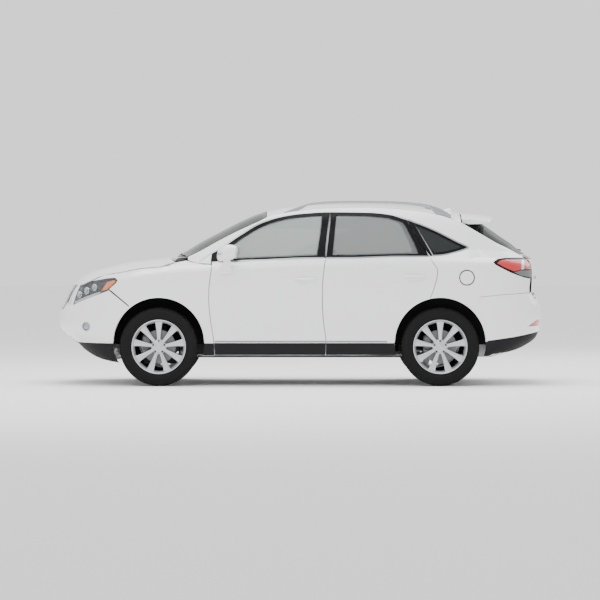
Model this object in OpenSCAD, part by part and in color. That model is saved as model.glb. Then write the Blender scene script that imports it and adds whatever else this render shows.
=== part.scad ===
/* [Overall] */
// Distance between the front and the rear axle
wheelbase = 2680; // [2200:10:3300]
// From the front axle to the foremost point of the bumper
front_overhang = 995; // [800:5:1200]
// From the rear axle to the rearmost point of the bumper
rear_overhang = 1005; // [800:5:1250]
// Width over the doors, without the mirrors
body_w = 1872; // [1550:2:2260]
// Height of the belt line at the middle pillar
belt_h = 1213; // [1150:1:1300]
// Height to the top of the roof rails
overall_h = 1774; // [1650:1:2150]

/* [Wheels] */
// Outer diameter of a tyre
tyre_d = 750; // [620:2:900]
// Width of a tyre
tyre_w = 235; // [190:5:285]
// Diameter of the rim at its outer lip
rim_d = 520; // [430:2:630]
// Distance between the wheel centres on one axle
track = 1610; // [1560:5:1660]
// Spokes in a wheel
spokes = 9; // [5:1:12]
// Diameter of the circle of wheel bolts
bolt_circle = 114.3; // [98:0.1:139]
// Wheel bolts
bolts = 5; // [4:1:6]
// Diameter of a wheel bolt hole
bolt_hole = 14; // [11:0.5:18]
// Diameter of the bearing shaft in each hub
shaft_d = 60; // [45:1:75]
// Brake disc diameter
disc_d = 328; // [270:2:400]
// Gap between a tyre and its wheel arch
arch_gap = 60; // [45:1:90]

/* [Panels] */
// Thickness of a door
door_t = 58; // [45:1:70]
// Space between the back of a door and its pillar
door_back = 28; // [24:1:40]
// Gap along the edges of doors and lids
shut_gap = 7; // [6:0.5:9]
// Thickness of the window frames
frame_t = 34; // [26:1:42]
// Thickness of the wings, bonnet and bumpers
panel_t = 26; // [18:1:34]
// Thickness of the glass
glass_t = 5; // [4:0.5:8]
// Clearance between fixed pieces that seat on each other
seat_gap = 0.3; // [0.1:0.1:0.5]

/* [Hinges] */
// Diameter of the door hinge pins
pin_d = 10; // [7:0.5:12]
// Running clearance round a pin
pin_fit = 0.05; // [0.02:0.01:0.1]
// Diameter of a hinge eye
eye_d = 18; // [15:0.5:22]
// Height of a hinge eye
eye_h = 36; // [24:1:48]
// From a door's front edge back to its hinge line
hinge_back = 66; // [50:1:75]
// From the door skin in to its hinge line
hinge_in = 14; // [12:0.5:18]

/* [Steering] */
// Steering axis inboard of the wheel centre
kingpin_in = 40; // [30:1:55]
// Diameter of the steering wheel
steer_wheel_d = 380; // [320:2:440]
// Diameter of the steering shaft
column_d = 24; // [18:1:32]

/* [Fuel flap] */
// Diameter of the fuel flap
flap_d = 144; // [120:2:172]

/* [Hidden] */

// Plan the body lines are drawn in: overhangs, wheelbase, width and heights of the standard body
base_front = 995;
base_wheelbase = 2680;
base_rear = 1005;
base_w = 1872;
base_belt = 1213;
base_h = 1774;
front_x = -(front_overhang + wheelbase + rear_overhang)/2 + front_overhang;
rear_x = front_x + wheelbase;
base_front_x = -1345;
base_rear_x = 1335;
tyre_r = tyre_d/2;
arch_r = tyre_r + arch_gap;
wheel_y = track/2;
kingpin_y = wheel_y - kingpin_in;
round_fine = 96;
round_mid = 48;

// Stretches a place on the standard body to this body
function sx(x) = x < base_front_x ? front_x + (x - base_front_x)*front_overhang/base_front
    : x > base_rear_x ? rear_x + (x - base_rear_x)*rear_overhang/base_rear
    : front_x + (x - base_front_x)*wheelbase/base_wheelbase;
function sy(y) = y*body_w/base_w;
function sz(z) = z < base_belt ? z*belt_h/base_belt
    : belt_h + (z - base_belt)*(overall_h - belt_h)/(base_h - base_belt);
function place(p) = [sx(p[0]), sy(p[1]), sz(p[2])];

// Smooth curve through the points [[u, v], ...], read at u
function lerp(a, b, t) = a + (b - a)*t;
function span_of(p, u, i = 0) = i >= len(p) - 2 || u < p[i + 1][0] ? i : span_of(p, u, i + 1);
function chord(p, i) = (p[i + 1][1] - p[i][1])/(p[i + 1][0] - p[i][0]);
function slope(p, i) = i <= 0 ? chord(p, 0) : i >= len(p) - 1 ? chord(p, len(p) - 2)
    : chord(p, i - 1)*chord(p, i) <= 0 ? 0
    : 2*chord(p, i - 1)*chord(p, i)/(chord(p, i - 1) + chord(p, i));
function curve(p, u) = let (
        w = max(p[0][0], min(p[len(p) - 1][0], u)), i = span_of(p, w),
        h = p[i + 1][0] - p[i][0], t = (w - p[i][0])/h)
    (2*t^3 - 3*t^2 + 1)*p[i][1] + (t^3 - 2*t^2 + t)*h*slope(p, i)
    + (3*t^2 - 2*t^3)*p[i + 1][1] + (t^3 - t^2)*h*slope(p, i + 1);
function clamp(v, low, high) = max(low, min(high, v));

// Centreline of the nose and of the tail: [height, x]
nose = [[212, -1810], [248, -1951], [336, -2098], [424, -2195], [497, -2285], [560, -2330],
    [627, -2340], [690, -2334], [752, -2303], [814, -2274], [876, -2245], [938, -2204], [973, -2176],
    [1042, -2098], [1102, -1951], [1152, -1756], [1213, -1600]];
tail = [[212, 1800], [273, 1900], [353, 2142], [456, 2288], [560, 2325], [660, 2341], [740, 2338],
    [820, 2300], [900, 2262], [1000, 2268], [1077, 2270], [1145, 2262], [1218, 2235], [1267, 2190],
    [1350, 2060], [1450, 1920], [1548, 1790], [1620, 1700]];
// Half width of the body below the crease: [height, y]
flank = [[212, 800], [270, 868], [304, 884], [410, 903], [458, 912], [500, 914], [600, 915],
    [700, 918], [800, 924], [900, 930], [1000, 935], [1150, 936]];
// Shoulder crease and the belt above it: [x, height]; half width at the belt: [x, y]
crease = [[-2200, 960], [-1863, 1000], [-1711, 1021], [-1521, 1053], [-1331, 1078], [-1141, 1094],
    [-951, 1101], [-400, 1120], [400, 1140], [1200, 1150], [1600, 1150], [1850, 1165], [2200, 1120]];
belt = [[-2200, 1010], [-1863, 1059], [-1711, 1083], [-1521, 1120], [-1331, 1137], [-1265, 1145],
    [-1179, 1160], [-1000, 1163], [-837, 1168], [-400, 1190], [250, 1214], [950, 1227], [1300, 1232],
    [1600, 1250], [2250, 1245]];
belt_y = [[-2200, 800], [-1863, 802], [-1711, 805], [-1521, 815], [-1331, 838], [-1179, 850],
    [-1000, 866], [-837, 880], [-500, 893], [0, 898], [1000, 898], [1300, 885], [1600, 855],
    [1900, 805], [2200, 745]];
// How far the side glass leans in: [height over the belt, y]
lean = [[0, 0], [100, 30], [200, 68], [300, 114], [400, 172], [450, 208], [520, 265], [600, 340]];
rear_lean = [[1200, 0], [1500, 12], [1800, 35], [2200, 50]];
nose_start = -1500;
nose_power = 2.6;
tail_start = 1500;
tail_power = 3.4;

function section_y(x, z) = let (zc = curve(crease, x), zb = curve(belt, x), yb = curve(belt_y, x))
    z <= zc ? curve(flank, z)
    : (z <= zb ? curve(flank, zc) - (curve(flank, zc) - yb)*((z - zc)/(zb - zc))^1.8
        : yb - curve(lean, z - zb))
    - curve(rear_lean, x)*clamp((z - zc)/300, 0, 1.5);
function corner(u, power) = u <= 0 ? 1 : u >= 1 ? 0 : (1 - u^power)^(1/power);
// Half width of the whole body at a place along it and a height
function side_y(x, z) = section_y(x, z)
    *corner((nose_start - x)/(nose_start - curve(nose, z)), nose_power)
    *corner((x - tail_start)/(curve(tail, z) - tail_start), tail_power);
// Places on the nose and on the tail at a half width y and a height z
function nose_x(y, z) = nose_start
    - (nose_start - curve(nose, z))*corner(abs(y)/section_y(nose_start, z), nose_power);
function tail_x(y, z) = tail_start
    + (curve(tail, z) - tail_start)*corner(abs(y)/section_y(tail_start + 300, z), tail_power);

// Solid between two grids of points of the same size, open edges closed by walls
function tetra(a, b, c) = a*cross(b, c);
function volume(pts, faces) = let (v = [for (f = faces) tetra(pts[f[0]], pts[f[1]], pts[f[2]])])
    v*[for (i = v) 1];
module skin(pts, faces) {
    turned = volume(pts, faces) > 0;
    polyhedron(pts, turned ? [for (f = faces) [f[2], f[1], f[0]]] : faces, convexity = 8);
}
function quad(a, b, c, d) = [[a, b, c], [a, c, d]];
module slab(a, b) {
    n = len(a);
    m = len(a[0]);
    pts = concat([for (r = a) each r], [for (r = b) each r]);
    skin(pts, concat(
        [for (i = [0:n - 2], j = [0:m - 2])
            each quad(i*m + j, i*m + j + 1, (i + 1)*m + j + 1, (i + 1)*m + j)],
        [for (i = [0:n - 2], j = [0:m - 2]) each quad(n*m + (i + 1)*m + j,
            n*m + (i + 1)*m + j + 1, n*m + i*m + j + 1, n*m + i*m + j)],
        [for (i = [0:n - 2]) each quad(i*m, (i + 1)*m, n*m + (i + 1)*m, n*m + i*m)],
        [for (i = [0:n - 2]) each quad((i + 1)*m + m - 1, i*m + m - 1,
            n*m + i*m + m - 1, n*m + (i + 1)*m + m - 1)],
        [for (j = [0:m - 2]) each quad(j + 1, j, n*m + j, n*m + j + 1)],
        [for (j = [0:m - 2]) each quad((n - 1)*m + j, (n - 1)*m + j + 1,
            n*m + (n - 1)*m + j + 1, n*m + (n - 1)*m + j)]));
}
// The same with a hole of whole cells: cols and rows give the hole's first and last grid lines
module framed(a, b, cols, rows) {
    n = len(a);
    m = len(a[0]);
    pts = concat([for (r = a) each r], [for (r = b) each r]);
    function solid(i, j) = i >= 0 && j >= 0 && i < n - 1 && j < m - 1
        && !(i >= cols[0] && i < cols[1] && j >= rows[0] && j < rows[1]);
    skin(pts, [for (i = [0:n - 2], j = [0:m - 2]) if (solid(i, j)) each concat(
        quad(i*m + j, i*m + j + 1, (i + 1)*m + j + 1, (i + 1)*m + j),
        quad(n*m + (i + 1)*m + j, n*m + (i + 1)*m + j + 1, n*m + i*m + j + 1, n*m + i*m + j),
        solid(i, j - 1) ? [] : quad(i*m + j, (i + 1)*m + j, n*m + (i + 1)*m + j, n*m + i*m + j),
        solid(i, j + 1) ? [] : quad((i + 1)*m + j + 1, i*m + j + 1, n*m + i*m + j + 1,
            n*m + (i + 1)*m + j + 1),
        solid(i - 1, j) ? [] : quad(i*m + j + 1, i*m + j, n*m + i*m + j, n*m + i*m + j + 1),
        solid(i + 1, j) ? [] : quad((i + 1)*m + j, (i + 1)*m + j + 1, n*m + (i + 1)*m + j + 1,
            n*m + (i + 1)*m + j))]);
}
// Solid between two rings of points: each grid is [around][across], closed around
module ring(a, b) {
    n = len(a);
    m = len(a[0]);
    pts = concat([for (r = a) each r], [for (r = b) each r]);
    skin(pts, concat(
        [for (i = [0:n - 1], j = [0:m - 2]) let (k = (i + 1) % n)
            each quad(i*m + j, i*m + j + 1, k*m + j + 1, k*m + j)],
        [for (i = [0:n - 1], j = [0:m - 2]) let (k = (i + 1) % n)
            each quad(n*m + k*m + j, n*m + k*m + j + 1, n*m + i*m + j + 1, n*m + i*m + j)],
        [for (i = [0:n - 1]) let (k = (i + 1) % n) each quad(i*m, k*m, n*m + k*m, n*m + i*m)],
        [for (i = [0:n - 1]) let (k = (i + 1) % n)
            each quad(k*m + m - 1, i*m + m - 1, n*m + i*m + m - 1, n*m + k*m + m - 1)]));
}
// Solid swept through a list of sections with the same number of corners
module loft(sections) {
    n = len(sections);
    m = len(sections[0]);
    skin([for (s = sections) each s], concat(
        [for (i = [0:n - 2], j = [0:m - 1]) let (k = (j + 1) % m)
            each quad(i*m + j, i*m + k, (i + 1)*m + k, (i + 1)*m + j)],
        [for (j = [1:m - 2]) [0, j + 1, j]],
        [for (j = [1:m - 2]) [(n - 1)*m, (n - 1)*m + j, (n - 1)*m + j + 1]]));
}
module left() mirror([0, 1, 0]) children();
module block(low, high) translate(low) cube(high - low);
module across(p, r, length) translate(p) rotate([90, 0, 0])
    cylinder(r = r, h = length, center = true, $fn = round_mid);

// Point on the right-hand side skin, moved in by a depth
function on_side(x, z, depth = 0) = let (p = place([x, side_y(x, z), z])) [p[0], p[1] - depth, p[2]];
// Panel on the side between a front and a rear edge [[height, x], ...]
// and a bottom and a top edge [[x, height], ...]
function panel_xz(front, rear, bottom, top, u, v) = let (
        guess_x = lerp(curve(front, 600), curve(rear, 600), u),
        z = lerp(curve(bottom, guess_x), curve(top, guess_x), v))
    [lerp(curve(front, z), curve(rear, z), u), z];
// Its back is set in by a taper at the front and the rear edge, and its top edge has its own thickness
module side_panel(front, rear, bottom, top, cells, rows, depth, thick, tapers = [0, 0], top_thick = 0) {
    grid = [for (i = [0:cells]) [for (j = [0:rows]) panel_xz(front, rear, bottom, top, i/cells, j/rows)]];
    slab([for (r = grid) [for (p = r) on_side(p[0], p[1], depth)]],
        [for (i = [0:cells]) [for (j = [0:rows]) let (p = grid[i][j],
            t = top_thick > 0 && j == rows ? top_thick : thick,
            q = on_side(p[0], p[1], depth + t), e = i == 0 ? tapers[0] : i == cells ? -tapers[1] : 0)
                [q[0] + e, q[1], q[2]]]]);
}
// Ring of side skin between an outer and an inner outline
module side_ring(outer, inner, rows, depth, thick) {
    grid = [for (i = [0:len(outer) - 1]) [for (j = [0:rows]) lerp(inner[i], outer[i], j/rows)]];
    ring([for (r = grid) [for (p = r) on_side(p[0], p[1], depth)]],
        [for (r = grid) [for (p = r) on_side(p[0], p[1], depth + thick)]]);
}
// Outline moved in by a distance
function unit(v) = v/norm(v);
function inset(p, d) = [for (i = [0:len(p) - 1]) let (n = len(p),
        t1 = unit(p[i] - p[(i + n - 1) % n]), t2 = unit(p[(i + 1) % n] - p[i]),
        m = unit(t1 + t2))
    p[i] + d*[m[1], -m[0]]/max(0.5, t1*m)];

// Shut lines down the side: [height, x]
front_line = [[260, -811], [412, -820], [489, -828], [565, -842], [632, -852], [727, -863],
    [822, -868], [914, -867], [1023, -855], [1107, -844], [1159, -838], [1262, -838]];
middle_line = [[260, 243], [413, 246], [489, 241], [587, 227], [679, 218], [794, 213], [917, 214],
    [1023, 218], [1121, 229], [1216, 243], [1650, 293]];
rear_line = [[260, 1240], [841, 1240], [907, 1267], [985, 1289], [1050, 1305], [1107, 1310],
    [1154, 1281], [1226, 1234], [1577, 1025]];
// Foremost corner of each door, where its hinge line is measured from
front_door_x = -868;
rear_door_x = 213;
belt_lip = [[-950, 1159], [-666, 1181], [-362, 1192], [132, 1213], [474, 1214], [949, 1227], [1234, 1227]];
door_foot = [[-900, 296], [-400, 300], [300, 302], [700, 296], [900, 290]];

// Window outlines, each running the same way round from its lower front corner
front_window = [[-842, 1163], [-842, 1210], [-842, 1256], [-761, 1309], [-666, 1369], [-571, 1437],
    [-476, 1497], [-381, 1547], [-286, 1585], [-191, 1612], [-96, 1632], [-1, 1643], [94, 1650],
    [189, 1656], [284, 1660], [270, 1550], [256, 1440], [244, 1330], [238, 1218], [132, 1213],
    [-100, 1203], [-362, 1193], [-520, 1187], [-666, 1181], [-760, 1172]];
rear_window = [[251, 1218], [262, 1330], [276, 1440], [288, 1550], [298, 1660], [474, 1659],
    [664, 1655], [760, 1647], [854, 1636], [949, 1608], [1008, 1586], [1080, 1470], [1150, 1358],
    [1222, 1231], [1100, 1229], [949, 1227], [700, 1220], [474, 1214]];
window_trim = 26;

// Edge of the roof and of the rear glass seen from the side: [x, height]
roof_edge = [[-1075, 1226], [-954, 1285], [-763, 1391], [-573, 1487], [-382, 1575], [-306, 1612],
    [-196, 1640], [0, 1672], [250, 1694], [600, 1700], [900, 1688], [1200, 1655], [1400, 1612],
    [1545, 1556]];
window_top = [[-968, 1176], [-908, 1225], [-761, 1309], [-571, 1437], [-381, 1547], [-191, 1612],
    [-1, 1643], [293, 1660], [664, 1655], [854, 1636], [1015, 1585], [1060, 1573]];
roof_crown = [[-391, 1646], [-294, 1669], [-196, 1690], [-99, 1706], [200, 1728], [500, 1731],
    [800, 1722], [1100, 1701], [1400, 1665], [1656, 1638], [1861, 1610]];
module pblock(low, high) block(place(low), place(high));
module pair() { children(); mirror([0, 1, 0]) children(); }

// ---- Hinge lines of the side doors ----
hinge_low = 520;
hinge_high = 900;
wall_depth = door_t + door_back;
frame_depth = 6;
rail_depth = frame_depth + frame_t + 14;
function hinge_at(door_x, z) = let (p = on_side(door_x + 40, z, hinge_in))
    [sx(door_x) + shut_gap/2 + hinge_back, p[1], p[2]];
function hinge_tilt(door_x) = let (a = hinge_at(door_x, hinge_low), b = hinge_at(door_x, hinge_high))
    atan2(b[1] - a[1], b[2] - a[2]);
module at_hinges(door_x) {
    for (z = [hinge_low, hinge_high])
        translate(hinge_at(door_x, z)) rotate([-hinge_tilt(door_x), 0, 0]) children();
}
module hinge_arms(door_x) {
    at_hinges(door_x) difference() {
        union() {
            cylinder(r = eye_d/2, h = eye_h, center = true, $fn = round_mid);
            block([-eye_d/2, -(wall_depth - hinge_in + 20), -eye_h/2], [eye_d/2, 0, eye_h/2]);
        }
        cylinder(r = pin_d/2 + pin_fit, h = eye_h + 2, center = true, $fn = round_mid);
    }
}
module hinge_pockets(door_x) {
    at_hinges(door_x) block([-hinge_back - 40, -door_t - 10, -eye_h/2 - 4],
        [eye_d/2 + 4, eye_d/2 + 2, eye_h/2 + 4]);
}
module hinge_pins(door_x) {
    at_hinges(door_x) cylinder(r = pin_d/2, h = eye_h + 30, center = true, $fn = round_mid);
}
function moved(line, d) = [for (p = line) [p[0], p[1] + d]];
module arch_cut(x) translate([x, 0, tyre_r + 35]) rotate([90, 0, 0])
    cylinder(r = arch_r, h = 3*body_w, center = true, $fn = round_fine);

// ---- Side doors, drawn on the right ----
module front_door() {
    difference() {
        union() {
            side_panel(moved(front_line, shut_gap/2), moved(middle_line, -shut_gap/2), door_foot,
                moved(belt_lip, 12), 9, 9, 0, door_t, [24, 8]);
            side_ring(front_window, inset(front_window, window_trim), 1, frame_depth, frame_t);
        }
        hinge_pockets(front_door_x);
    }
    hinge_pins(front_door_x);
}
module rear_door() {
    difference() {
        union() {
            side_panel(moved(middle_line, shut_gap/2), moved(rear_line, -shut_gap/2), door_foot,
                moved(belt_lip, 12), 9, 9, 0, door_t, [24, 8]);
            side_ring(rear_window, inset(rear_window, window_trim), 1, frame_depth, frame_t);
        }
        hinge_pockets(rear_door_x);
        arch_cut(rear_x);
    }
    hinge_pins(rear_door_x);
}
module side_glass(outline) {
    edge = inset(outline, window_trim + seat_gap);
    n = len(edge);
    heart = [for (i = [0:n - 1]) 1]*edge/n;
    side_fan(edge, heart, frame_depth + 12);
}
// Pane between an outline and its middle
module side_fan(edge, heart, depth) {
    n = len(edge);
    rows = 3;
    ringed = [for (i = [0:n - 1]) each [for (j = [1:rows]) lerp(heart, edge[i], j/rows)]];
    flat = concat([heart], ringed);
    front = [for (p = flat) on_side(p[0], p[1], depth)];
    back = [for (p = front) [p[0], p[1] - glass_t, p[2]]];
    m = len(flat);
    skin(concat(front, back), concat(
        [for (i = [0:n - 1]) let (k = (i + 1) % n) [0, 1 + i*rows, 1 + k*rows]],
        [for (i = [0:n - 1], j = [0:rows - 2]) let (k = (i + 1) % n)
            each quad(1 + i*rows + j, 1 + i*rows + j + 1, 1 + k*rows + j + 1, 1 + k*rows + j)],
        [for (i = [0:n - 1]) let (k = (i + 1) % n) [m, m + 1 + k*rows, m + 1 + i*rows]],
        [for (i = [0:n - 1], j = [0:rows - 2]) let (k = (i + 1) % n)
            each quad(m + 1 + k*rows + j, m + 1 + k*rows + j + 1, m + 1 + i*rows + j + 1, m + 1 + i*rows + j)],
        [for (i = [0:n - 1]) let (k = (i + 1) % n, a = i*rows + rows, b = k*rows + rows)
            each quad(b, a, m + a, m + b)]));
}

// ---- Body side, drawn on the right: pillars, rocker, roof rail, rear quarter ----
rail_x = [-1066, -1010, -950, -900, -849, -846, -761, -666, -571, -476, -381, -306, -196, -96, 0,
    150, 293, 474, 664, 854, 940, 1033];
corner_foot = [[-1080, 1206], [-968, 1172], [-849, 1166]];
function rail_foot(x, up) = x < -848 ? curve(corner_foot, x) : curve(window_top, x) + up;
// Guide lines across the rear quarter, from the door to the tail: roof edge, window top, window foot
quarter_top = [[1034, 1678], [1080, 1673], [1130, 1666], [1180, 1658], [1230, 1650], [1280, 1640],
    [1325, 1630], [1370, 1619], [1410, 1607], [1445, 1594], [1480, 1582], [1515, 1568], [1545, 1556]];
quarter_high = [[1036, 1588], [1082, 1562], [1150, 1537], [1230, 1505], [1320, 1464], [1420, 1412],
    [1510, 1366], [1592, 1328], [1660, 1340], [1730, 1350], [1800, 1358], [1850, 1362], [1880, 1362]];
quarter_low = [[1250, 1224], [1266, 1250], [1300, 1251], [1350, 1254], [1400, 1262], [1450, 1275],
    [1510, 1291], [1592, 1316], [1690, 1312], [1790, 1304], [1890, 1294], [1975, 1284], [2055, 1276]];
quarter_rear = [[600, 2205], [900, 2196], [1022, 2208], [1150, 2200], [1226, 2145], [1276, 2055],
    [1303, 2004], [1348, 1909], [1388, 1813], [1433, 1718], [1489, 1605], [1556, 1545]];
quarter_cols = len(quarter_top) - 1;
window_tip = 7;
lamp_outline = [[1836, 1181], [1880, 1211], [1956, 1223], [2100, 1224], [2300, 1226], [2300, 1022],
    [2196, 1022], [2147, 1031], [2080, 1053], [2004, 1083], [1908, 1129], [1861, 1155]];
bumper_line = [[1685, 500], [1685, 700], [1706, 851], [1899, 871], [2050, 880], [2179, 889], [2400, 889],
    [2400, 500]];
function below_low(i, v) = let (
        z = lerp(600, quarter_low[i][1], v), front = curve(rear_line, z) + shut_gap/2,
        rear = curve(quarter_rear, z), f = i/quarter_cols,
        edge = quarter_low[i], front_high = curve(rear_line, edge[1]) + shut_gap/2,
        f_high = (edge[0] - front_high)/(curve(quarter_rear, edge[1]) - front_high))
    [lerp(front, rear, lerp(1 - (1 - f)^1.5, f_high, v)), z];
function quarter_grid() = [for (i = [0:quarter_cols]) concat(
    [for (j = [0:7]) below_low(i, j/8)], [quarter_low[i]],
    [for (j = [1:2]) lerp(quarter_low[i], quarter_high[i], j/2)],
    [lerp(quarter_high[i], quarter_top[i], 0.5)], [quarter_top[i]])];
module outline_cut(outline, y0, y1) {
    translate([0, y1, 0]) rotate([90, 0, 0])
        linear_extrude(y1 - y0) polygon([for (p = outline) [sx(p[0]), sz(p[1])]]);
}
// Thickness of the rear pillar beside the tailgate
pillar_t = 40;
flap_x = 1587;
flap_z = 1034;
module flap_place() {
    translate(on_side(flap_x, flap_z)) rotate([-90 + flap_tilt(), 0, flap_turn()]) children();
}
module body_side(flap) {
    strip = [for (x = rail_x) [for (j = [0:3]) [x, lerp(rail_foot(x, 7), curve(roof_edge, x) - 1, j/3)]]];
    slab([for (r = strip) [for (p = r) on_side(p[0], p[1])]],
        [for (r = strip) [for (p = r) on_side(p[0], p[1], rail_depth)]]);
    flange = [for (x = concat(rail_x, [1062])) if (x > -1000)
        [for (j = [0:2]) [x, lerp(rail_foot(x, -38), curve(roof_edge, x) - 16, j/2)]]];
    slab([for (r = flange) [for (p = r) on_side(p[0], p[1], rail_depth - 3)]],
        [for (r = flange) [for (p = r) on_side(p[0], p[1], rail_depth + 32)]]);
    upright([[290, -900], [1235, -900]], [[290, -790], [1235, -790]], 290, 1235, wall_depth, 60);
    upright(moved(middle_line, -25), moved(middle_line, 105), 290, 1290, wall_depth, 60);
    upright(moved(middle_line, -30), moved(middle_line, 50), 1242, 1650, rail_depth, 36);
    upright([[850, 1200], [1240, 1216]], [[850, 1300], [1240, 1316]], 850, 1240, wall_depth, 40);
    rear_flange();
    pblock([-900, 700, 285], [890, 812, 425]);
    hinge_arms(front_door_x);
    hinge_arms(rear_door_x);
    difference() {
        quarter_skin();
        arch_cut(rear_x);
        outline_cut(lamp_outline, 400, body_w);
        outline_cut(bumper_line, 400, body_w);
        if (flap) flap_place() {
            cylinder(r = flap_d/2 + 4, h = 100, center = true, $fn = round_fine);
        }
    }
    if (flap) flap_place() flap_seat();
}
// Door flange that runs from the rocker over the rear wheel to the rear pillar
module rear_flange() {
    intersection() {
        translate([rear_x, 0, tyre_r + 35]) rotate([-90, 0, 0]) difference() {
            cylinder(r = arch_r + 55, h = 812, $fn = round_fine);
            translate([0, 0, -1]) cylinder(r = arch_r + 8, h = 814, $fn = round_fine);
        }
        pblock([840, 770, 400], [1300, 812, 1000]);
    }
}
module quarter_pane() {
    grid = [for (i = [1:window_tip]) [for (j = [0:2]) let (p = lerp(quarter_low[i], quarter_high[i], j/2))
        [p[0] + (i == 1 ? 0.5 : i == window_tip ? -0.5 : 0), p[1] + 0.5*(1 - j)]]];
    slab([for (r = grid) [for (p = r) on_side(p[0], p[1], 14)]],
        [for (r = grid) [for (p = r) on_side(p[0], p[1], 14 + glass_t)]]);
}
module quarter_skin() {
    grid = quarter_grid();
    framed([for (r = grid) [for (p = r) on_side(p[0], p[1])]],
        [for (i = [0:quarter_cols]) [for (p = grid[i])
            on_side(p[0], p[1], min(lerp(wall_depth + 2, pillar_t, min(1, i/9)),
                p[1] > curve(roof_edge, p[0]) - 40 ? rail_depth - 6 : 200))]], [1, window_tip], [8, 10]);
}
module upright(front, rear, low, high, depth, thick) {
    side_panel(front, rear, [[-3000, low], [3000, low]], [[-3000, high], [3000, high]], 1, 8, depth, thick);
}
// Pocket behind the flap, with the lugs and pin that the flap turns on
flap_pin = [-flap_d/2 + 3.5, 0, -5];
flap_pin_r = 1.25;
module flap_seat() {
    difference() {
        translate([0, 0, -56]) cylinder(r = flap_d/2 + 8, h = 6, $fn = round_fine);
        translate([0, 0, -60]) cylinder(r = 25, h = 20, $fn = round_mid);
    }
    for (y = [-20, 14]) translate([flap_pin[0] - 3, y, -52]) cube([6, 6, 50]);
    translate(flap_pin) rotate([90, 0, 0]) cylinder(r = flap_pin_r, h = 40, center = true, $fn = round_mid);
}
module fuel_flap() {
    left() flap_place() difference() {
        translate([0, 0, -8]) cylinder(r = flap_d/2, h = 6, $fn = round_fine);
        translate(flap_pin) rotate([90, 0, 0])
            cylinder(r = flap_pin_r + pin_fit, h = 60, center = true, $fn = round_mid);
        for (y = [-40, 12]) translate([-flap_d/2 - 2, y, -20]) cube([10.5, 28, 40]);
    }
}
// Tilt and turn of the skin at the flap
function flap_tilt() = let (c = on_side(flap_x, flap_z - 40), d = on_side(flap_x, flap_z + 40))
    atan2(c[1] - d[1], d[2] - c[2]);
function flap_turn() = let (a = on_side(flap_x - 40, flap_z), b = on_side(flap_x + 40, flap_z))
    atan2(b[1] - a[1], b[0] - a[0]);

// ---- Roof, glass and lids ----
roof_x = [-318.4, -306, -196, -96, 0, 150, 293, 474, 664, 854, 1028, 1150, 1280, 1400, 1480, 1538];
function roof_half(x) = on_side(x, curve(roof_edge, x) - 1, rail_depth + seat_gap)[1];
function roof_pt(x, v, down = 0) = let (e = curve(roof_edge, x), c = curve(roof_crown, x))
    [sx(x), v*roof_half(x), sz(e + (c - e)*(1 - abs(v)^2.2)) - down];
across_v = [for (i = [-6:6]) i/6];
module roof() {
    slab([for (x = roof_x) [for (v = across_v) roof_pt(x, v)]],
        [for (x = roof_x) [for (v = across_v) roof_pt(x, v, 32 - 20*v^4)]]);
    pair() roof_arm();
}
// Windshield: centreline and edge, from the cowl to the roof: [x, height]
screen_mid = [[-1191, 1223], [-976, 1360], [-781, 1464], [-586, 1564], [-391, 1646], [-322, 1664]];
screen_edge = [[-1066, 1231], [-954, 1285], [-763, 1391], [-573, 1487], [-382, 1575], [-322, 1604]];
function along(line, u) = let (x = lerp(line[0][0], line[len(line) - 1][0], u)) [x, curve(line, x)];
function screen_pt(u, v) = let (m = along(screen_mid, u), e = along(screen_edge, u),
        y = on_side(e[0], e[1] + 2, rail_depth + seat_gap)[1], k = abs(v)^2.2)
    [sx(lerp(m[0], e[0], k)), v*y, sz(lerp(m[1], e[1], k))];
module windshield() {
    grid = [for (i = [0:7]) [for (v = across_v) screen_pt(i/7, v)]];
    slab(grid, [for (r = grid) [for (p = r) [p[0] + glass_t*0.6, p[1], p[2] - glass_t]]]);
}
hood_mid = [[-2195, 950], [-2176, 973], [-2146, 1007], [-2098, 1042], [-2049, 1066], [-1951, 1102],
    [-1854, 1128], [-1756, 1152], [-1659, 1172], [-1561, 1185], [-1464, 1196], [-1366, 1206], [-1250, 1213]];
hood_side = [[-2064, 978], [-1990, 1006], [-1930, 1036], [-1863, 1059], [-1711, 1083], [-1521, 1120],
    [-1331, 1137], [-1265, 1145], [-1217, 1172], [-1200, 1182]];
hood_axis = [-1185, 1165];
// Thickness of the wing's top edge beside the hood, and of the hood's own edge
wing_lip = 5;
hood_lip = 5;
function hood_pt(u, v) = let (k = abs(v)^2.4,
        m = along(hood_mid, u), e = along(hood_side, u), y = on_side(e[0], e[1])[1] - shut_gap - wing_lip)
    [sx(lerp(m[0], e[0], k)), v*y, sz(lerp(m[1], e[1], abs(v)^2.8))];
module hood() {
    us = [0, 0.03, 0.08, 0.16, 0.28, 0.42, 0.56, 0.7, 0.84, 1];
    difference() {
        union() {
            slab([for (u = us) [for (v = across_v) hood_pt(u, v)]],
                [for (u = us) [for (v = across_v) let (p = hood_pt(u == 0 ? 0.012 : u, v*0.985))
                    [p[0], p[1], p[2] - (u == 0 || abs(v) == 1 ? hood_lip : panel_t)]]]);
            pair() hood_lug();
        }
        across([sx(hood_axis[0]), 0, sz(hood_axis[1])], pin_d/2 + pin_fit, 1300);
    }
}
module hood_lug() {
    p = [sx(hood_axis[0]), sz(hood_axis[1])];
    translate([0, 606, 0]) rotate([90, 0, 0]) linear_extrude(10) hull() {
        translate(p) circle(r = eye_d/2, $fn = round_mid);
        translate([p[0] - 90, p[1] + 25]) square([40, 8]);
    }
}
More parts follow.
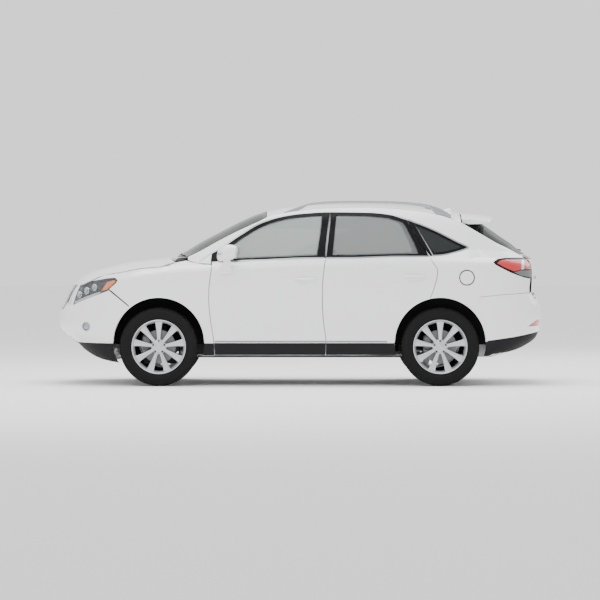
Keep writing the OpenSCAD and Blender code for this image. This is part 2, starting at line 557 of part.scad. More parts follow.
// Cowl tray with the two hood hinge brackets
module cowl() {
    front = [for (v = across_v) [sx(-1214 + 40*abs(v)^2.4), sy(v*815), sz(1186)]];
    back = [for (v = across_v) let (p = screen_pt(0, v)) [p[0] - 5, v*sy(815), p[2] - 12]];
    difference() {
        slab([front, back], [for (r = [front, back]) [for (p = r) [p[0], p[1], sz(1161) + seat_gap]]]);
        pair() block([sx(hood_axis[0]) - 60, 588, 0], [sx(hood_axis[0]) + 24, 609, 3000]);
    }
    pair() {
        block([sx(hood_axis[0]) - eye_d/2, 608, sz(hood_axis[1]) - 3], [sx(hood_axis[0]) + 40, 620, sz(1186)]);
        across([sx(hood_axis[0]), 605, sz(hood_axis[1]) + 0], pin_d/2, 24);
    }
}

// ---- Nose and tail ----
// Point on the nose at a plan angle from the middle (0) to the side (90), moved in by a depth
function on_nose(a, z, depth = 0) = let (
        x = nose_start - (nose_start - curve(nose, z))*cos(a)^(2/nose_power),
        y = section_y(x, z)*sin(abs(a))^(2/nose_power), p = place([x, sign(a)*y, z]))
    [p[0] + depth*cos(a), p[1] - depth*sin(a), p[2]];
function on_tail(a, z, depth = 0) = let (
        x = tail_start + (curve(tail, z) - tail_start)*cos(a)^(2/tail_power),
        y = section_y(x, z)*sin(abs(a))^(2/tail_power), p = place([x, sign(a)*y, z]))
    [p[0] - depth*cos(a), p[1] - depth*sin(a), p[2]];
nose_angles = [-86, -76, -66, -56, -46, -36, -27, -18, -9, 0, 9, 18, 27, 36, 46, 56, 66, 76, 86];
module nose_skin(angles, rows, depth, thick) {
    slab([for (a = angles) [for (z = rows) on_nose(a, z, depth)]],
        [for (a = angles) [for (z = rows) on_nose(a, z, depth + thick)]]);
}
module tail_skin(angles, rows, depth, thick) {
    slab([for (a = angles) [for (z = rows) on_tail(a, z, depth)]],
        [for (a = angles) [for (z = rows) on_tail(a, z, depth + thick)]]);
}
headlight_outline = [[-2300, 770], [-2166, 772], [-2113, 798], [-2017, 838], [-1921, 872],
    [-1833, 905], [-1796, 942], [-1753, 976], [-1733, 1008], [-1758, 1034], [-1825, 1029],
    [-1921, 1013], [-2017, 992], [-2056, 975], [-2300, 975]];
grille_half = 425;
module front_bumper() {
    rows = [215, 250, 330, 400, 450, 500, 560, 630, 700, 760, 830, 900, 944];
    difference() {
        nose_skin(nose_angles, rows, 0, panel_t);
        pair() outline_cut(headlight_outline, 450, body_w);
        pair() outline_cut([[-1400, 200], [-1400, 1100], [-1829, 1100], [-1829, 918], [-1811, 912 - 8],
            [-1612, 740], [-1612, 200]], 450, body_w);
        arch_cut(front_x);
        pblock([-2400, -grille_half, 728], [-2100, grille_half, 946]);
        pblock([-2400, -430, 345], [-2050, 430, 470]);
        translate([sx(-2340) - 10, tow_y, tow_z]) rotate([0, 90, 0])
            cylinder(r = 26, h = 400, $fn = round_mid);
    }
}
module grille() {
    half = grille_half - seat_gap;
    zs = [728 + seat_gap, 780, 830, 880, 935];
    ys = [for (i = [-6:6]) half*i/6];
    slab([for (y = ys) [for (z = zs) place([nose_x(y, z) + 10, y, z])]],
        [for (y = ys) [for (z = zs) place([nose_x(y, z) + 34, y, z])]]);
}
module headlights() {
    lamp = inset(headlight_outline, -0.5);
    angles = [30, 38, 46, 54, 62, 70, 78, 86];
    rows = [765, 800, 850, 900, 950, 1000, 1040];
    backs = [90, 90, 90, 60, 10, 8, 8];
    pair() intersection() {
        slab([for (a = angles) [for (z = rows) on_nose(a, z, 1)]],
            [for (a = angles) [for (j = [0:6]) on_nose(a, rows[j], backs[j])]]);
        outline_cut(lamp, 470, body_w);
        difference() {
            translate([-3000, sy(588), 0]) cube([3000, 600, 2000]);
            pblock([-2090, 580, 968], [-2052, 624, 990]);
        }
    }
}
fender_top = [[-1990, 996], [-1930, 1028], [-1863, 1055], [-1711, 1079], [-1521, 1116], [-1331, 1133],
    [-1265, 1141], [-1217, 1162], [-1179, 1178], [-1085, 1196], [-968, 1162], [-845, 1156]];
module front_fender() {
    difference() {
        side_panel([[200, -1980], [1200, -1980]], moved(front_line, -shut_gap/2), [[-3000, 290], [0, 290]],
            fender_top, 14, 8, 0, panel_t, [0, 0], wing_lip);
        outline_cut(headlight_outline, 450, body_w);
        outline_cut([[-2400, 200], [-2400, 925], [-1822, 925], [-1800, 914], [-1612, 757], [-1612, 200]],
            450, body_w);
        arch_cut(front_x);
    }
}
rear_bumper_rows = [275, 320, 400, 460, 530, 600, 670, 740, 790, 830, 884];
module rear_bumper() {
    difference() {
        tail_skin(nose_angles, rear_bumper_rows, 0, panel_t);
        pair() outline_cut([[1400, 200], [1685, 200], [1685, 700], [1706, 844], [1899, 864], [2050, 873],
            [2179, 882], [2300, 882], [2400, 1000], [1400, 1000]], 580, body_w);
        pair() outline_cut([[1400, 200], [1700, 200], [1700, 900], [1400, 900]], 300, body_w);
        arch_cut(rear_x);
        pblock([1900, -580, 826], [2500, 580, 1000]);
    }
}
module tail_lamps() {
    lamp = inset(lamp_outline, 0.5);
    pair() intersection() {
        tail_skin([28, 36, 44, 52, 60, 68, 76, 84], [1016, 1060, 1100, 1150, 1190, 1230], 1, 70);
        outline_cut(lamp, 480, body_w);
        translate([0, sy(576), 0]) cube([3000, 600, 2000]);
    }
}

// ---- Tailgate: lower panel, glass frame and spoiler ----
glass_mid = [[1245, 2190], [1267, 2163], [1293, 2124], [1358, 2046], [1423, 1949], [1492, 1851],
    [1548, 1769]];
glass_edge = [[1245, 2124], [1303, 2004], [1348, 1909], [1388, 1813], [1433, 1718], [1489, 1605],
    [1548, 1560]];
gate_rows = [838, 900, 980, 1070, 1150, 1210, 1250, 1278, 1340, 1400, 1460, 1520, 1550];
gate_half = [[838, 556], [1000, 560], [1150, 566], [1210, 570]];
gate_axis = [1580, 1626];
gate_gap = 23;
function gate_pt(v, z, depth = 0) = let (
        low = z <= 1212, half = low ? sy(curve(gate_half, z))
            : on_side(curve(glass_edge, z), z, pillar_t + gate_gap)[1],
        x = low ? sx(tail_x(v*curve(gate_half, z), z))
            : sx(lerp(curve(glass_mid, z), curve(glass_edge, z), abs(v)^2.6)))
    [x - min(depth, max(6, x - sx(1552))), v*(half - (depth > 20 ? 22*abs(v)^4 : 0)), sz(z)];
gate_v = [-1, -0.93, -0.75, -0.5, -0.25, 0, 0.25, 0.5, 0.75, 0.93, 1];
gate_t = 45;
module tailgate() {
    difference() {
        union() {
            framed([for (v = gate_v) [for (z = gate_rows) gate_pt(v, z)]],
                [for (v = gate_v) [for (z = gate_rows) gate_pt(v, z, gate_t)]], [1, 9], [7, 11]);
            spoiler();
        }
        pair() at_gate_hinge() block([-70, -6, -eye_d/2 - 2], [eye_d/2 + 3, 18, 90]);
    }
    pair() at_gate_hinge() translate([0, 6, 0]) rotate([90, 0, 0])
        cylinder(r = pin_d/2, h = 36, center = true, $fn = round_mid);
}
// The two roof arms that the tailgate turns on
gate_hinge_y = 200;
module at_gate_hinge() translate([sx(gate_axis[0]), gate_hinge_y, sz(gate_axis[1])]) children();
module roof_arm() at_gate_hinge() difference() {
    union() {
        rotate([-90, 0, 0]) cylinder(r = eye_d/2, h = 12, $fn = round_mid);
        block([-62, 0, -7], [0, 12, 7]);
    }
    translate([0, -1, 0]) rotate([-90, 0, 0]) cylinder(r = pin_d/2 + pin_fit, h = 14, $fn = round_mid);
}
function spoiler_section(v) = let (y = v*sy(612), k = abs(v)^2.4, drop = 58*k)
    [[sx(1553), y, sz(1646 - drop)], [sx(1656), y, sz(1640 - drop)], [sx(1861 - 60*k), y, sz(1612 - drop*0.8)],
        [sx(1852 - 60*k), y, sz(1596 - drop*0.7)], [sx(1772 - 20*k), y, sz(1548)], [sx(1640), y, sz(1546)],
        [sx(1562), y, sz(1606 - drop)]];
module spoiler() loft([for (v = across_v) spoiler_section(v)]);
module rear_glass() {
    inner = [for (i = [1:9]) gate_v[i]];
    rows = [for (z = gate_rows) if (z >= 1278 && z <= 1520) z];
    slab([for (v = inner) [for (z = rows) gate_edge(v, z, 6)]],
        [for (v = inner) [for (z = rows) gate_edge(v, z, 6 + glass_t)]]);
}
function gate_edge(v, z, depth) = let (p = gate_pt(v, z, depth))
    [p[0], p[1]*(abs(v) > 0.92 ? 0.991 : 1), p[2] + (z < 1279 ? seat_gap : z > 1519 ? -seat_gap : 0)];

// ---- Underbody ----
floor_half = 700 - seat_gap;
floor_top = 328;
house_half = 462;
tow_y = 419;
tow_z = 515;
tow_r = 8;
module floor_pan() {
    house_x = front_x + arch_r + 6 + seat_gap;
    // cabin floor, firewall, front wheelhouses, rear step, load floor and tail wall
    block([house_x, -floor_half, sz(300)], [sx(960), floor_half, sz(floor_top)]);
    block([sx(-1140), -house_half, sz(300)], [house_x + 5, house_half, sz(floor_top)]);
    block([sx(-1140), -house_half, sz(300)], [sx(-1108), house_half, sz(880)]);
    block([sx(-1140), -floor_half, sz(862)], [sx(-1108), floor_half, sz(1161)]);
    pair() block([sx(-1140), house_half - 12, sz(300)], [house_x + 12, house_half, sz(874)]);
    pair() block([sx(-1140), house_half - 12, sz(862)], [house_x + 12, floor_half, sz(874)]);
    pair() block([house_x, house_half - 12, sz(300)], [house_x + 12, floor_half, sz(874)]);
    pblock([940, -600.7, 300], [960, 600.7, 584]);
    pblock([940, -595, 560], [2190, 595, 584]);
    pblock([2170, -540, 450], [2192, 540, 815]);
    angles = [-18, -9, 0, 9, 18];
    slab([for (a = angles) [for (z = [600, 670]) on_tail(a, z, panel_t + seat_gap)]],
        [for (a = angles) [for (z = [600, 670]) let (p = on_tail(a, z)) [sx(2180), p[1], p[2]]]]);
}
// Bars stand a seat gap apart, so that each is a solid of its own
module chassis_rails() {
    g = seat_gap;
    pair() {
        pblock([-2080 + g, 400, 470], [-1140 - g, 438, 560]);
        pblock([-2080 + g, 520, 862], [-1140 - g, 560, 900]);
        pblock([-1430, 438 + g, 500], [-1260, 464.7, 862 - g]);
        pblock([-1430, 438 + g, 862], [-1260, 520 - g, 900]);
        pblock([960 + g, 440, 470], [2170 - g, 500, 559.7]);
        pblock([-2110, 400, 470 + g], [-2080, 438, 862 - g]);
        wing_stay(-1590);
        wing_stay(-1215);
        upper_arm();
    }
    tow_socket();
    pblock([-2110, -438, 430], [-2080, 438, 470]);
    pblock([-2110, -588 + g, 862], [-2080, 588 - g, 900]);
    angles = [for (a = nose_angles) if (abs(a) < 12) a];
    slab([for (a = angles) [for (z = [500, 560]) on_nose(a, z, panel_t + g)]],
        [for (a = angles) [for (z = [500, 560]) let (p = on_nose(a, z)) [sx(-2095), p[1], p[2]]]]);
    pblock([-2110, -400 + g, 500], [-2080, 400 - g, 560]);
}
module wing_stay(x) {
    loft([for (d = [0, 40]) let (a = on_side(x + d, 868, panel_t + 0.8),
            b = on_side(x + d, 890, panel_t + 0.8))
        [a, b, [b[0], sy(560) + seat_gap, b[2]], [a[0], sy(560) + seat_gap, a[2]]]]);
}
module tow_socket() translate([sx(-2200), tow_y, tow_z]) rotate([0, 90, 0]) difference() {
    cylinder(r = 17, h = sx(-2095) - sx(-2200), $fn = round_mid);
    translate([0, 0, -1]) cylinder(r = tow_r, h = 61, $fn = round_mid);
}
module engine_block() {
    pblock([-2020, -380, 480], [-1240, 380, 960]);
    pair() pblock([-1640, 375, 500], [-1560, 400 - seat_gap, 540]);
}
module exhaust() {
    pipe_z = sz(270);
    r = 26;
    translate([sx(-1168), 0, pipe_z]) rotate([0, 90, 0]) cylinder(r = r, h = sx(1650) - sx(-1168), $fn = round_mid);
    translate([sx(-1165), 0, pipe_z]) cylinder(r = 20, h = sz(700) - pipe_z, $fn = round_mid);
    translate([sx(-1240) + seat_gap, 0, sz(690)]) rotate([0, 90, 0])
        cylinder(r = 20, h = sx(-1150) - sx(-1240), $fn = round_mid);
    pblock([1640, -260, 258], [1850, 260, 380]);
    translate([sx(1840), 200, pipe_z + 52]) rotate([0, 90, 0]) difference() {
        cylinder(r = r, h = 85, $fn = round_mid);
        translate([0, 0, 40]) cylinder(r = r - 3, h = 50, $fn = round_mid);
    }
    pair() translate([sx(1745), 220, sz(330)]) cylinder(r = 6, h = sz(560) - seat_gap - sz(330), $fn = round_mid);
}
module arch_liners() {
    pair() arch_liner(front_x, 465, 826);
    pair() arch_liner(rear_x, 601, 800);
}
module arch_liner(x, y0, y1) {
    translate([x, 0, tyre_r + 35]) difference() {
        rotate([90, 0, 0]) translate([0, 0, -y1]) cylinder(r = arch_r + 6, h = y1 - y0, $fn = round_fine);
        rotate([90, 0, 0]) translate([0, 0, -y1 - 1]) cylinder(r = arch_r + 2, h = y1 - y0 - 3, $fn = round_fine);
        translate([-1000, 0, -1000 - 20]) cube([2000, 2000, 1000]);
        translate([-60, 0, -260]) cube([120, y0 + 40, 420]);
    }
}

// ---- Axles, knuckles and wheels ----
hub_face = wheel_y + 35;
ball_low = -145;
ball_high = 140;
ball_r = 9;
module front_axle() {
    translate([front_x, 0, tyre_r]) {
        block([-160, -400, ball_low - 30], [160, 400, ball_low + 40]);
        pair() suspension_arm(ball_low, 390);
        pair() block([-60, 380, ball_low + 30], [60, 398, sz(470) - seat_gap - tyre_r]);
        pair() block([-60, 380, sz(455) - tyre_r], [60, 436, sz(470) - seat_gap - tyre_r]);
    }
}
module suspension_arm(z, y0) difference() {
    union() {
        translate([0, kingpin_y, z]) cylinder(r = 22, h = 24, center = true, $fn = round_mid);
        block([-20, y0, z - 12], [20, kingpin_y - 12, z + 12]);
    }
    translate([0, kingpin_y, z]) cylinder(r = ball_r + pin_fit, h = 40, center = true, $fn = round_mid);
}
module upper_arm() translate([front_x, 0, tyre_r]) suspension_arm(ball_high, 464.7 + seat_gap);
module knuckle() {
    translate([front_x, kingpin_y, tyre_r]) {
        translate([0, 0, ball_low - 15]) cylinder(r = ball_r, h = ball_high - ball_low + 30, $fn = round_mid);
        difference() {
            block([-45, -26, ball_low + 16], [45, 22, ball_high - 16]);
            block([-100, -60, ball_high - 30], [100, 60, ball_high + 30]);
        }
        translate([0, 20, 0]) rotate([-90, 0, 0]) cylinder(r = shaft_d/2, h = hub_face - kingpin_y - 26,
            $fn = round_mid);
    }
}
module rear_axle() {
    translate([rear_x, 0, tyre_r]) {
        block([-60, -430, -60], [60, 430, 40]);
        pair() {
            block([-50, 420, -40], [50, wheel_y - 60, 40]);
            translate([0, wheel_y - 62, 0]) rotate([-90, 0, 0])
                cylinder(r = shaft_d/2, h = hub_face - wheel_y + 56, $fn = round_mid);
            block([sx(960) + seat_gap - rear_x, 520, -40], [-50, 560, 20]);
            block([-30, 440, 30], [30, 500, sz(470) - seat_gap - tyre_r]);
        }
    }
}
module at_wheel(x, side) translate([x, 0, tyre_r]) mirror([0, side < 0 ? 1 : 0, 0]) translate([0, wheel_y, 0])
    rotate([-90, 0, 0]) children();
module tyre() {
    r = tyre_r;
    w = tyre_w/2;
    bead = rim_d/2 - 14;
    rotate_extrude($fn = round_fine) polygon([[bead, -w + 26], [bead + 22, -w + 8], [r - 60, -w],
        [r - 24, -w + 6], [r - 7, -w + 22], [r, -w + 48], [r, w - 48], [r - 7, w - 22], [r - 24, w - 6],
        [r - 60, w], [bead + 22, w - 8], [bead, w - 26]]);
}
module wheel() {
    lip = rim_d/2 - 14.3;
    face = hub_face - wheel_y;
    difference() {
        union() {
            rotate_extrude($fn = round_fine) polygon([[lip - 8, -92], [lip, -92], [lip, 92],
                [lip - 8, 92], [lip - 26, 70], [lip - 26, -70]]);
            translate([0, 0, face]) cylinder(r = 78, h = 30, $fn = round_mid);
            for (i = [0:spokes - 1]) rotate([0, 0, i*360/spokes]) spoke(lip, face);
            translate([0, 0, face - 46]) cylinder(r = 72, h = 47, $fn = round_mid);
            translate([0, 0, face - 46]) cylinder(r = disc_d/2, h = 24, $fn = round_fine);
        }
        translate([0, 0, face - 60]) cylinder(r = shaft_d/2 + pin_fit, h = 62, $fn = round_mid);
        for (i = [0:bolts - 1]) rotate([0, 0, i*360/bolts]) translate([0, bolt_circle/2, face - 60])
            cylinder(r = bolt_hole/2, h = 120, $fn = round_mid);
    }
}
module spoke(lip, face) {
    r0 = 66;
    r1 = lip - 6;
    section = [[r0, face + 2], [r0, face + 26], [(r0 + r1)/2, face + 44], [r1, face + 52], [r1, face + 22],
        [(r0 + r1)/2, face + 16]];
    translate([-17, 0, 0]) rotate([90, 0, 90]) linear_extrude(34) polygon(section);
}

// ---- Roof rails, mirrors, cabin ----
rail_line = [[-151, 1663], [-80, 1708], [0, 1734], [46, 1750], [146, 1762], [285, 1764], [474, 1774],
    [760, 1772], [949, 1764], [1139, 1751], [1234, 1743], [1330, 1715], [1391, 1678], [1440, 1638]];
module roof_rails() pair() {
    loft([for (i = [0:24]) let (x = lerp(-145, 1436, i/24), z = curve(rail_line, x),
            seat = curve(roof_edge, x) - 0.5, foot = x < 100 || x > 1255 ? seat : max(seat, z - 34),
            y = on_side(x, seat)[1] - 26)
        [[sx(x), y - 16, sz(foot)], [sx(x), y + 16, sz(foot)],
            [sx(x), y + 13, sz(max(z, seat + 6))], [sx(x), y - 13, sz(max(z, seat + 6))]]]);
}
module mirror_pod() {
    p = on_side(-700, 1150);
    translate(p) {
        hull() {
            translate([80, 45, 75]) sphere(r = 35, $fn = 16);
            translate([-50, 50, 80]) sphere(r = 40, $fn = 16);
            translate([80, 130, 85]) sphere(r = 30, $fn = 16);
            translate([-50, 130, 90]) sphere(r = 34, $fn = 16);
            translate([80, 60, 170]) sphere(r = 28, $fn = 16);
            translate([-30, 120, 168]) sphere(r = 28, $fn = 16);
        }
        hull() {
            translate([-30, 23, -66]) cube([66, 8, 40]);
            translate([-20, 40, 40]) cube([60, 40, 20]);
        }
    }
    side_panel([[900, -738], [1300, -738]], [[900, -662], [1300, -662]], [[-3000, 1084], [0, 1084]],
        [[-3000, 1132], [0, 1132]], 1, 1, -11, 9);
}
steer_wheel_at = [-560, 370, 960];
column_tilt = 112;
module dashboard() {
    rotate([90, 0, 0]) translate([0, 0, -690]) linear_extrude(1380) polygon([[sx(-1108) + seat_gap, sz(874) + seat_gap],
        [sx(-1108) + seat_gap, sz(1150)], [sx(-1000), sz(1175)], [sx(-800), sz(1150)],
        [sx(-740), sz(1080)], [sx(-760), sz(900)], [sx(-840), sz(740)], [sx(-885), sz(740)],
        [sx(-885), sz(874) + seat_gap]]);
    left() translate(place(steer_wheel_at)) rotate([0, -column_tilt, 0]) translate([0, 0, 45]) difference() {
        cylinder(r = 34, h = 200, $fn = round_mid);
        translate([0, 0, -1]) cylinder(r = column_d/2 + pin_fit, h = 101, $fn = round_mid);
    }
}
module steering_wheel() {
    left() translate(place(steer_wheel_at)) rotate([0, -column_tilt, 0]) {
        rotate_extrude($fn = round_fine) translate([steer_wheel_d/2 - 15, 0]) circle(r = 15, $fn = 32);
        translate([0, 0, 8]) cylinder(r = 62, h = 30, $fn = round_mid);
        for (a = [0, 90, 180]) rotate([0, 0, a]) translate([40, -16, 4]) cube([steer_wheel_d/2 - 50, 32, 18]);
        cylinder(r = column_d/2, h = 130, $fn = round_mid);
    }
}
module plank(x, z, long, thick, angle, y0, y1) {
    translate([sx(x), y1, sz(z)]) rotate([90, 0, 0]) linear_extrude(y1 - y0) rotate(angle)
        offset(r = 20, $fn = 16) square([long, thick]);
}
// Seat with its cushion, back, headrest, hinge plates and runners
module seat(y0, y1, x, base) {
    plank(x, base + 110, 470, 120, 6, y0, y1);
    plank(x + 520, base + 150, 110, 570, -18, y0 + 10, y1 - 10);
    plank(x + 730, base + 790, 80, 130, -14, y0 + 130, y1 - 130);
    for (y = [y0 + 170, y1 - 182]) plank(x + 742, base + 700, 8, 100, -18, y, y + 12);
    for (y = [y0 + 40, y1 - 80]) translate([sx(x + 20), y, sz(base)]) cube([440, 40, 111]);
    for (y = [y0 + 2, y1 - 14]) plank(x + 400, base + 150, 230, 90, 12, y, y + 12);
}
module front_seats() pair() seat(110, 630, -330, floor_top);
module rear_bench() {
    plank(400, 438, 440, 120, 6, -640, 640);
    plank(875, 652, 90, 540, -20, -600, 600);
    pblock([420, -500, floor_top], [820, 500, 440]);
    for (y = [-420, 0, 420]) {
        plank(1082, 1210, 60, 110, -12, y - 120, y + 120);
        for (d = [-60, 48]) plank(1082, 1140, 8, 70, -12, y + d, y + d + 12);
    }
    for (y = [-600, 586]) plank(790, 612, 120, 60, 0, y, y + 14);
}

color("dimgray") floor_pan();
color("gray") chassis_rails();
color("white") left() body_side(true);  // body_side_left
color("white") body_side(false);  // body_side_right
color("white") roof();
color("silver") roof_rails();
color("dimgray") cowl();
color("lightblue") windshield();
color("ghostwhite") hood();
color("dimgray") grille();
color("white") front_bumper();
color("silver") headlights();
color("white") left() front_fender();  // front_fender_left
color("white") front_fender();  // front_fender_right
color("gainsboro") left() front_door();  // front_door_left
color("gainsboro") front_door();  // front_door_right
color("whitesmoke") left() rear_door();  // rear_door_left
color("whitesmoke") rear_door();  // rear_door_right
color("lightblue") left() side_glass(front_window);  // front_door_glass_left
color("lightblue") side_glass(front_window);  // front_door_glass_right
color("slategray") left() side_glass(rear_window);  // rear_door_glass_left
color("slategray") side_glass(rear_window);  // rear_door_glass_right
color("slategray") pair() quarter_pane();  // quarter_glass
color("white") left() mirror_pod();  // mirror_left
color("white") mirror_pod();  // mirror_right
color("white") tailgate();
color("slategray") rear_glass();
color("firebrick") tail_lamps();
color("white") rear_bumper();
color("white") fuel_flap();
color("dimgray") arch_liners();
color("gray") engine_block();
color("silver") exhaust();
color("gray") front_axle();
color("gray") rear_axle();
color("gray") left() knuckle();  // knuckle_left
color("gray") knuckle();  // knuckle_right
color("silver") at_wheel(front_x, -1) wheel();  // wheel_front_left
color("silver") at_wheel(front_x, 1) wheel();  // wheel_front_right
color("silver") at_wheel(rear_x, -1) wheel();  // wheel_rear_left
color("silver") at_wheel(rear_x, 1) wheel();  // wheel_rear_right
color("dimgray") at_wheel(front_x, -1) tyre();  // tyre_front_left
color("dimgray") at_wheel(front_x, 1) tyre();  // tyre_front_right
color("dimgray") at_wheel(rear_x, -1) tyre();  // tyre_rear_left
color("dimgray") at_wheel(rear_x, 1) tyre();  // tyre_rear_right
color("tan") dashboard();
color("dimgray") steering_wheel();
color("tan") front_seats();
color("tan") rear_bench();
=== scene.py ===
"""Five-door suv: smooth skins, glass, lamps, trim, wheels and cabin round a fixed frame."""

import math

import bmesh
import bpy
from bpy.props import FloatProperty, FloatVectorProperty, IntProperty, PointerProperty
from mathutils import Matrix, Vector


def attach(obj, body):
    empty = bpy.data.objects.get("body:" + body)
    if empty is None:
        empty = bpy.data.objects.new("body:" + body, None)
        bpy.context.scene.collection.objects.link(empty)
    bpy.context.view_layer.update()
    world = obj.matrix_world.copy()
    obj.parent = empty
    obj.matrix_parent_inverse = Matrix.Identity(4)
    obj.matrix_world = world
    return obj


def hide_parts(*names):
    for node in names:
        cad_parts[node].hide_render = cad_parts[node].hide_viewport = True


bl_info = {
    "name": "Five-door suv",
    "version": (1, 0, 0),
    "blender": (4, 5, 0),
    "location": "View3D > Sidebar > Suv",
    "description": "Builds the skins, glass, lamps, trim, wheels and cabin of a five-door suv",
    "category": "Object",
}

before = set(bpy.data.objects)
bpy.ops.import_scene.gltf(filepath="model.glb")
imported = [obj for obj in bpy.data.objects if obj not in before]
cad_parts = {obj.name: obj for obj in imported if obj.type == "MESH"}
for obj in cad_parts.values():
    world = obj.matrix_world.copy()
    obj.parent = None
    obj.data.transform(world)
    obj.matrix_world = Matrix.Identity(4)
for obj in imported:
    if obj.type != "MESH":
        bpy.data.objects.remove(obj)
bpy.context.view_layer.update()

MM = 0.001
FRONT_AXLE_X = -1345
REAR_AXLE_X = 1335
TYRE_R = 375
ARCH_R = 435
WHEEL_FACE = 35
BOLT_CIRCLE_R = 57.15
ARCH_Z = 410
WHEEL_Y = 805
SHUT_GAP = 7

# ---------------------------------------------------------------- body lines, in millimetres
# Centreline of the nose and of the tail: (height, x)
NOSE = [(212, -1810), (248, -1951), (336, -2098), (424, -2195), (497, -2285), (560, -2330),
        (627, -2340), (690, -2334), (752, -2303), (814, -2274), (876, -2245), (938, -2204), (973, -2176),
        (1042, -2098), (1102, -1951), (1152, -1756), (1213, -1600)]
TAIL = [(212, 1800), (273, 1900), (353, 2142), (456, 2288), (560, 2325), (660, 2341), (740, 2338),
        (820, 2300), (900, 2262), (1000, 2268), (1077, 2270), (1145, 2262), (1218, 2235), (1267, 2190),
        (1350, 2060), (1450, 1920), (1548, 1790), (1620, 1700)]
# Half width below the shoulder: (height, y)
FLANK = [(212, 800), (270, 868), (304, 884), (410, 903), (458, 912), (500, 914), (600, 915),
         (700, 918), (800, 924), (900, 930), (1000, 935), (1150, 936)]
# Shoulder crease and belt: (x, height), half width at the belt: (x, y)
CREASE = [(-2200, 960), (-1863, 1000), (-1711, 1021), (-1521, 1053), (-1331, 1078), (-1141, 1094),
          (-951, 1101), (-400, 1120), (400, 1140), (1200, 1150), (1600, 1150), (1850, 1165), (2200, 1120)]
BELT = [(-2200, 1010), (-1863, 1059), (-1711, 1083), (-1521, 1120), (-1331, 1137), (-1265, 1145),
        (-1179, 1160), (-1000, 1163), (-837, 1168), (-400, 1190), (250, 1214), (950, 1227), (1300, 1232),
        (1600, 1250), (2250, 1245)]
BELT_Y = [(-2200, 800), (-1863, 802), (-1711, 805), (-1521, 815), (-1331, 838), (-1179, 850),
          (-1000, 866), (-837, 880), (-500, 893), (0, 898), (1000, 898), (1300, 885), (1600, 855),
          (1900, 805), (2200, 745)]
LEAN = [(0, 0), (100, 30), (200, 68), (300, 114), (400, 172), (450, 208), (520, 265), (600, 340)]
REAR_LEAN = [(1200, 0), (1500, 12), (1800, 35), (2200, 50)]
NOSE_START, NOSE_POWER = -1500, 2.6
TAIL_START, TAIL_POWER = 1500, 3.4
# Shut lines: (height, x)
FRONT_LINE = [(260, -811), (412, -820), (489, -828), (565, -842), (632, -852), (727, -863),
              (822, -868), (914, -867), (1023, -855), (1107, -844), (1159, -838), (1262, -838)]
MIDDLE_LINE = [(260, 243), (413, 246), (489, 241), (587, 227), (679, 218), (794, 213), (917, 214),
               (1023, 218), (1121, 229), (1216, 243), (1650, 293)]
REAR_LINE = [(260, 1240), (841, 1240), (907, 1267), (985, 1289), (1050, 1305), (1107, 1310),
             (1154, 1281), (1226, 1234), (1577, 1025)]
BELT_LIP = [(-950, 1159), (-666, 1181), (-362, 1192), (132, 1213), (474, 1214), (949, 1227), (1234, 1227)]
# Window outlines, from the lower front corner up and over
FRONT_WINDOW = [(-842, 1163), (-842, 1210), (-842, 1256), (-761, 1309), (-666, 1369), (-571, 1437),
                (-476, 1497), (-381, 1547), (-286, 1585), (-191, 1612), (-96, 1632), (-1, 1643), (94, 1650),
                (189, 1656), (284, 1660), (270, 1550), (256, 1440), (244, 1330), (238, 1218), (132, 1213),
                (-100, 1203), (-362, 1193), (-520, 1187), (-666, 1181), (-760, 1172)]
REAR_WINDOW = [(251, 1218), (262, 1330), (276, 1440), (288, 1550), (298, 1660), (474, 1659),
               (664, 1655), (760, 1647), (854, 1636), (949, 1608), (1008, 1586), (1080, 1470), (1150, 1358),
               (1222, 1231), (1100, 1229), (949, 1227), (700, 1220), (474, 1214)]
QUARTER_LOW = [(1266, 1250), (1300, 1251), (1350, 1254), (1400, 1262), (1450, 1275), (1510, 1291),
               (1592, 1316)]
QUARTER_HIGH = [(1082, 1562), (1150, 1537), (1230, 1505), (1320, 1464), (1420, 1412), (1510, 1366),
                (1592, 1328)]
QUARTER_TOP = [(1034, 1678), (1080, 1673), (1130, 1666), (1180, 1658), (1230, 1650), (1280, 1640),
               (1325, 1630), (1370, 1619), (1410, 1607), (1445, 1594), (1480, 1582), (1515, 1568),
               (1545, 1556)]
QUARTER_REAR = [(600, 2205), (900, 2196), (1022, 2208), (1150, 2200), (1226, 2145), (1276, 2055),
                (1303, 2004), (1348, 1909), (1388, 1813), (1433, 1718), (1489, 1605), (1556, 1545)]
ROOF_EDGE = [(-1075, 1226), (-954, 1285), (-763, 1391), (-573, 1487), (-382, 1575), (-306, 1612),
             (-196, 1640), (0, 1672), (250, 1694), (600, 1700), (900, 1688), (1200, 1655), (1400, 1612),
             (1545, 1556)]
WINDOW_TOP = [(-968, 1176), (-908, 1225), (-761, 1309), (-571, 1437), (-381, 1547), (-191, 1612),
              (-1, 1643), (293, 1660), (664, 1655), (854, 1636), (1015, 1585), (1060, 1573)]
CORNER_FOOT = [(-1080, 1206), (-968, 1172), (-849, 1166)]
ROOF_CROWN = [(-391, 1646), (-294, 1669), (-196, 1690), (-99, 1706), (200, 1728), (500, 1731),
              (800, 1722), (1100, 1701), (1400, 1665), (1656, 1638), (1861, 1610)]
SCREEN_MID = [(-1191, 1223), (-976, 1360), (-781, 1464), (-586, 1564), (-391, 1646), (-322, 1664)]
SCREEN_EDGE = [(-1066, 1231), (-954, 1285), (-763, 1391), (-573, 1487), (-382, 1575), (-322, 1604)]
HOOD_MID = [(-2195, 950), (-2176, 973), (-2146, 1007), (-2098, 1042), (-2049, 1066), (-1951, 1102),
            (-1854, 1128), (-1756, 1152), (-1659, 1172), (-1561, 1185), (-1464, 1196), (-1366, 1206),
            (-1250, 1213)]
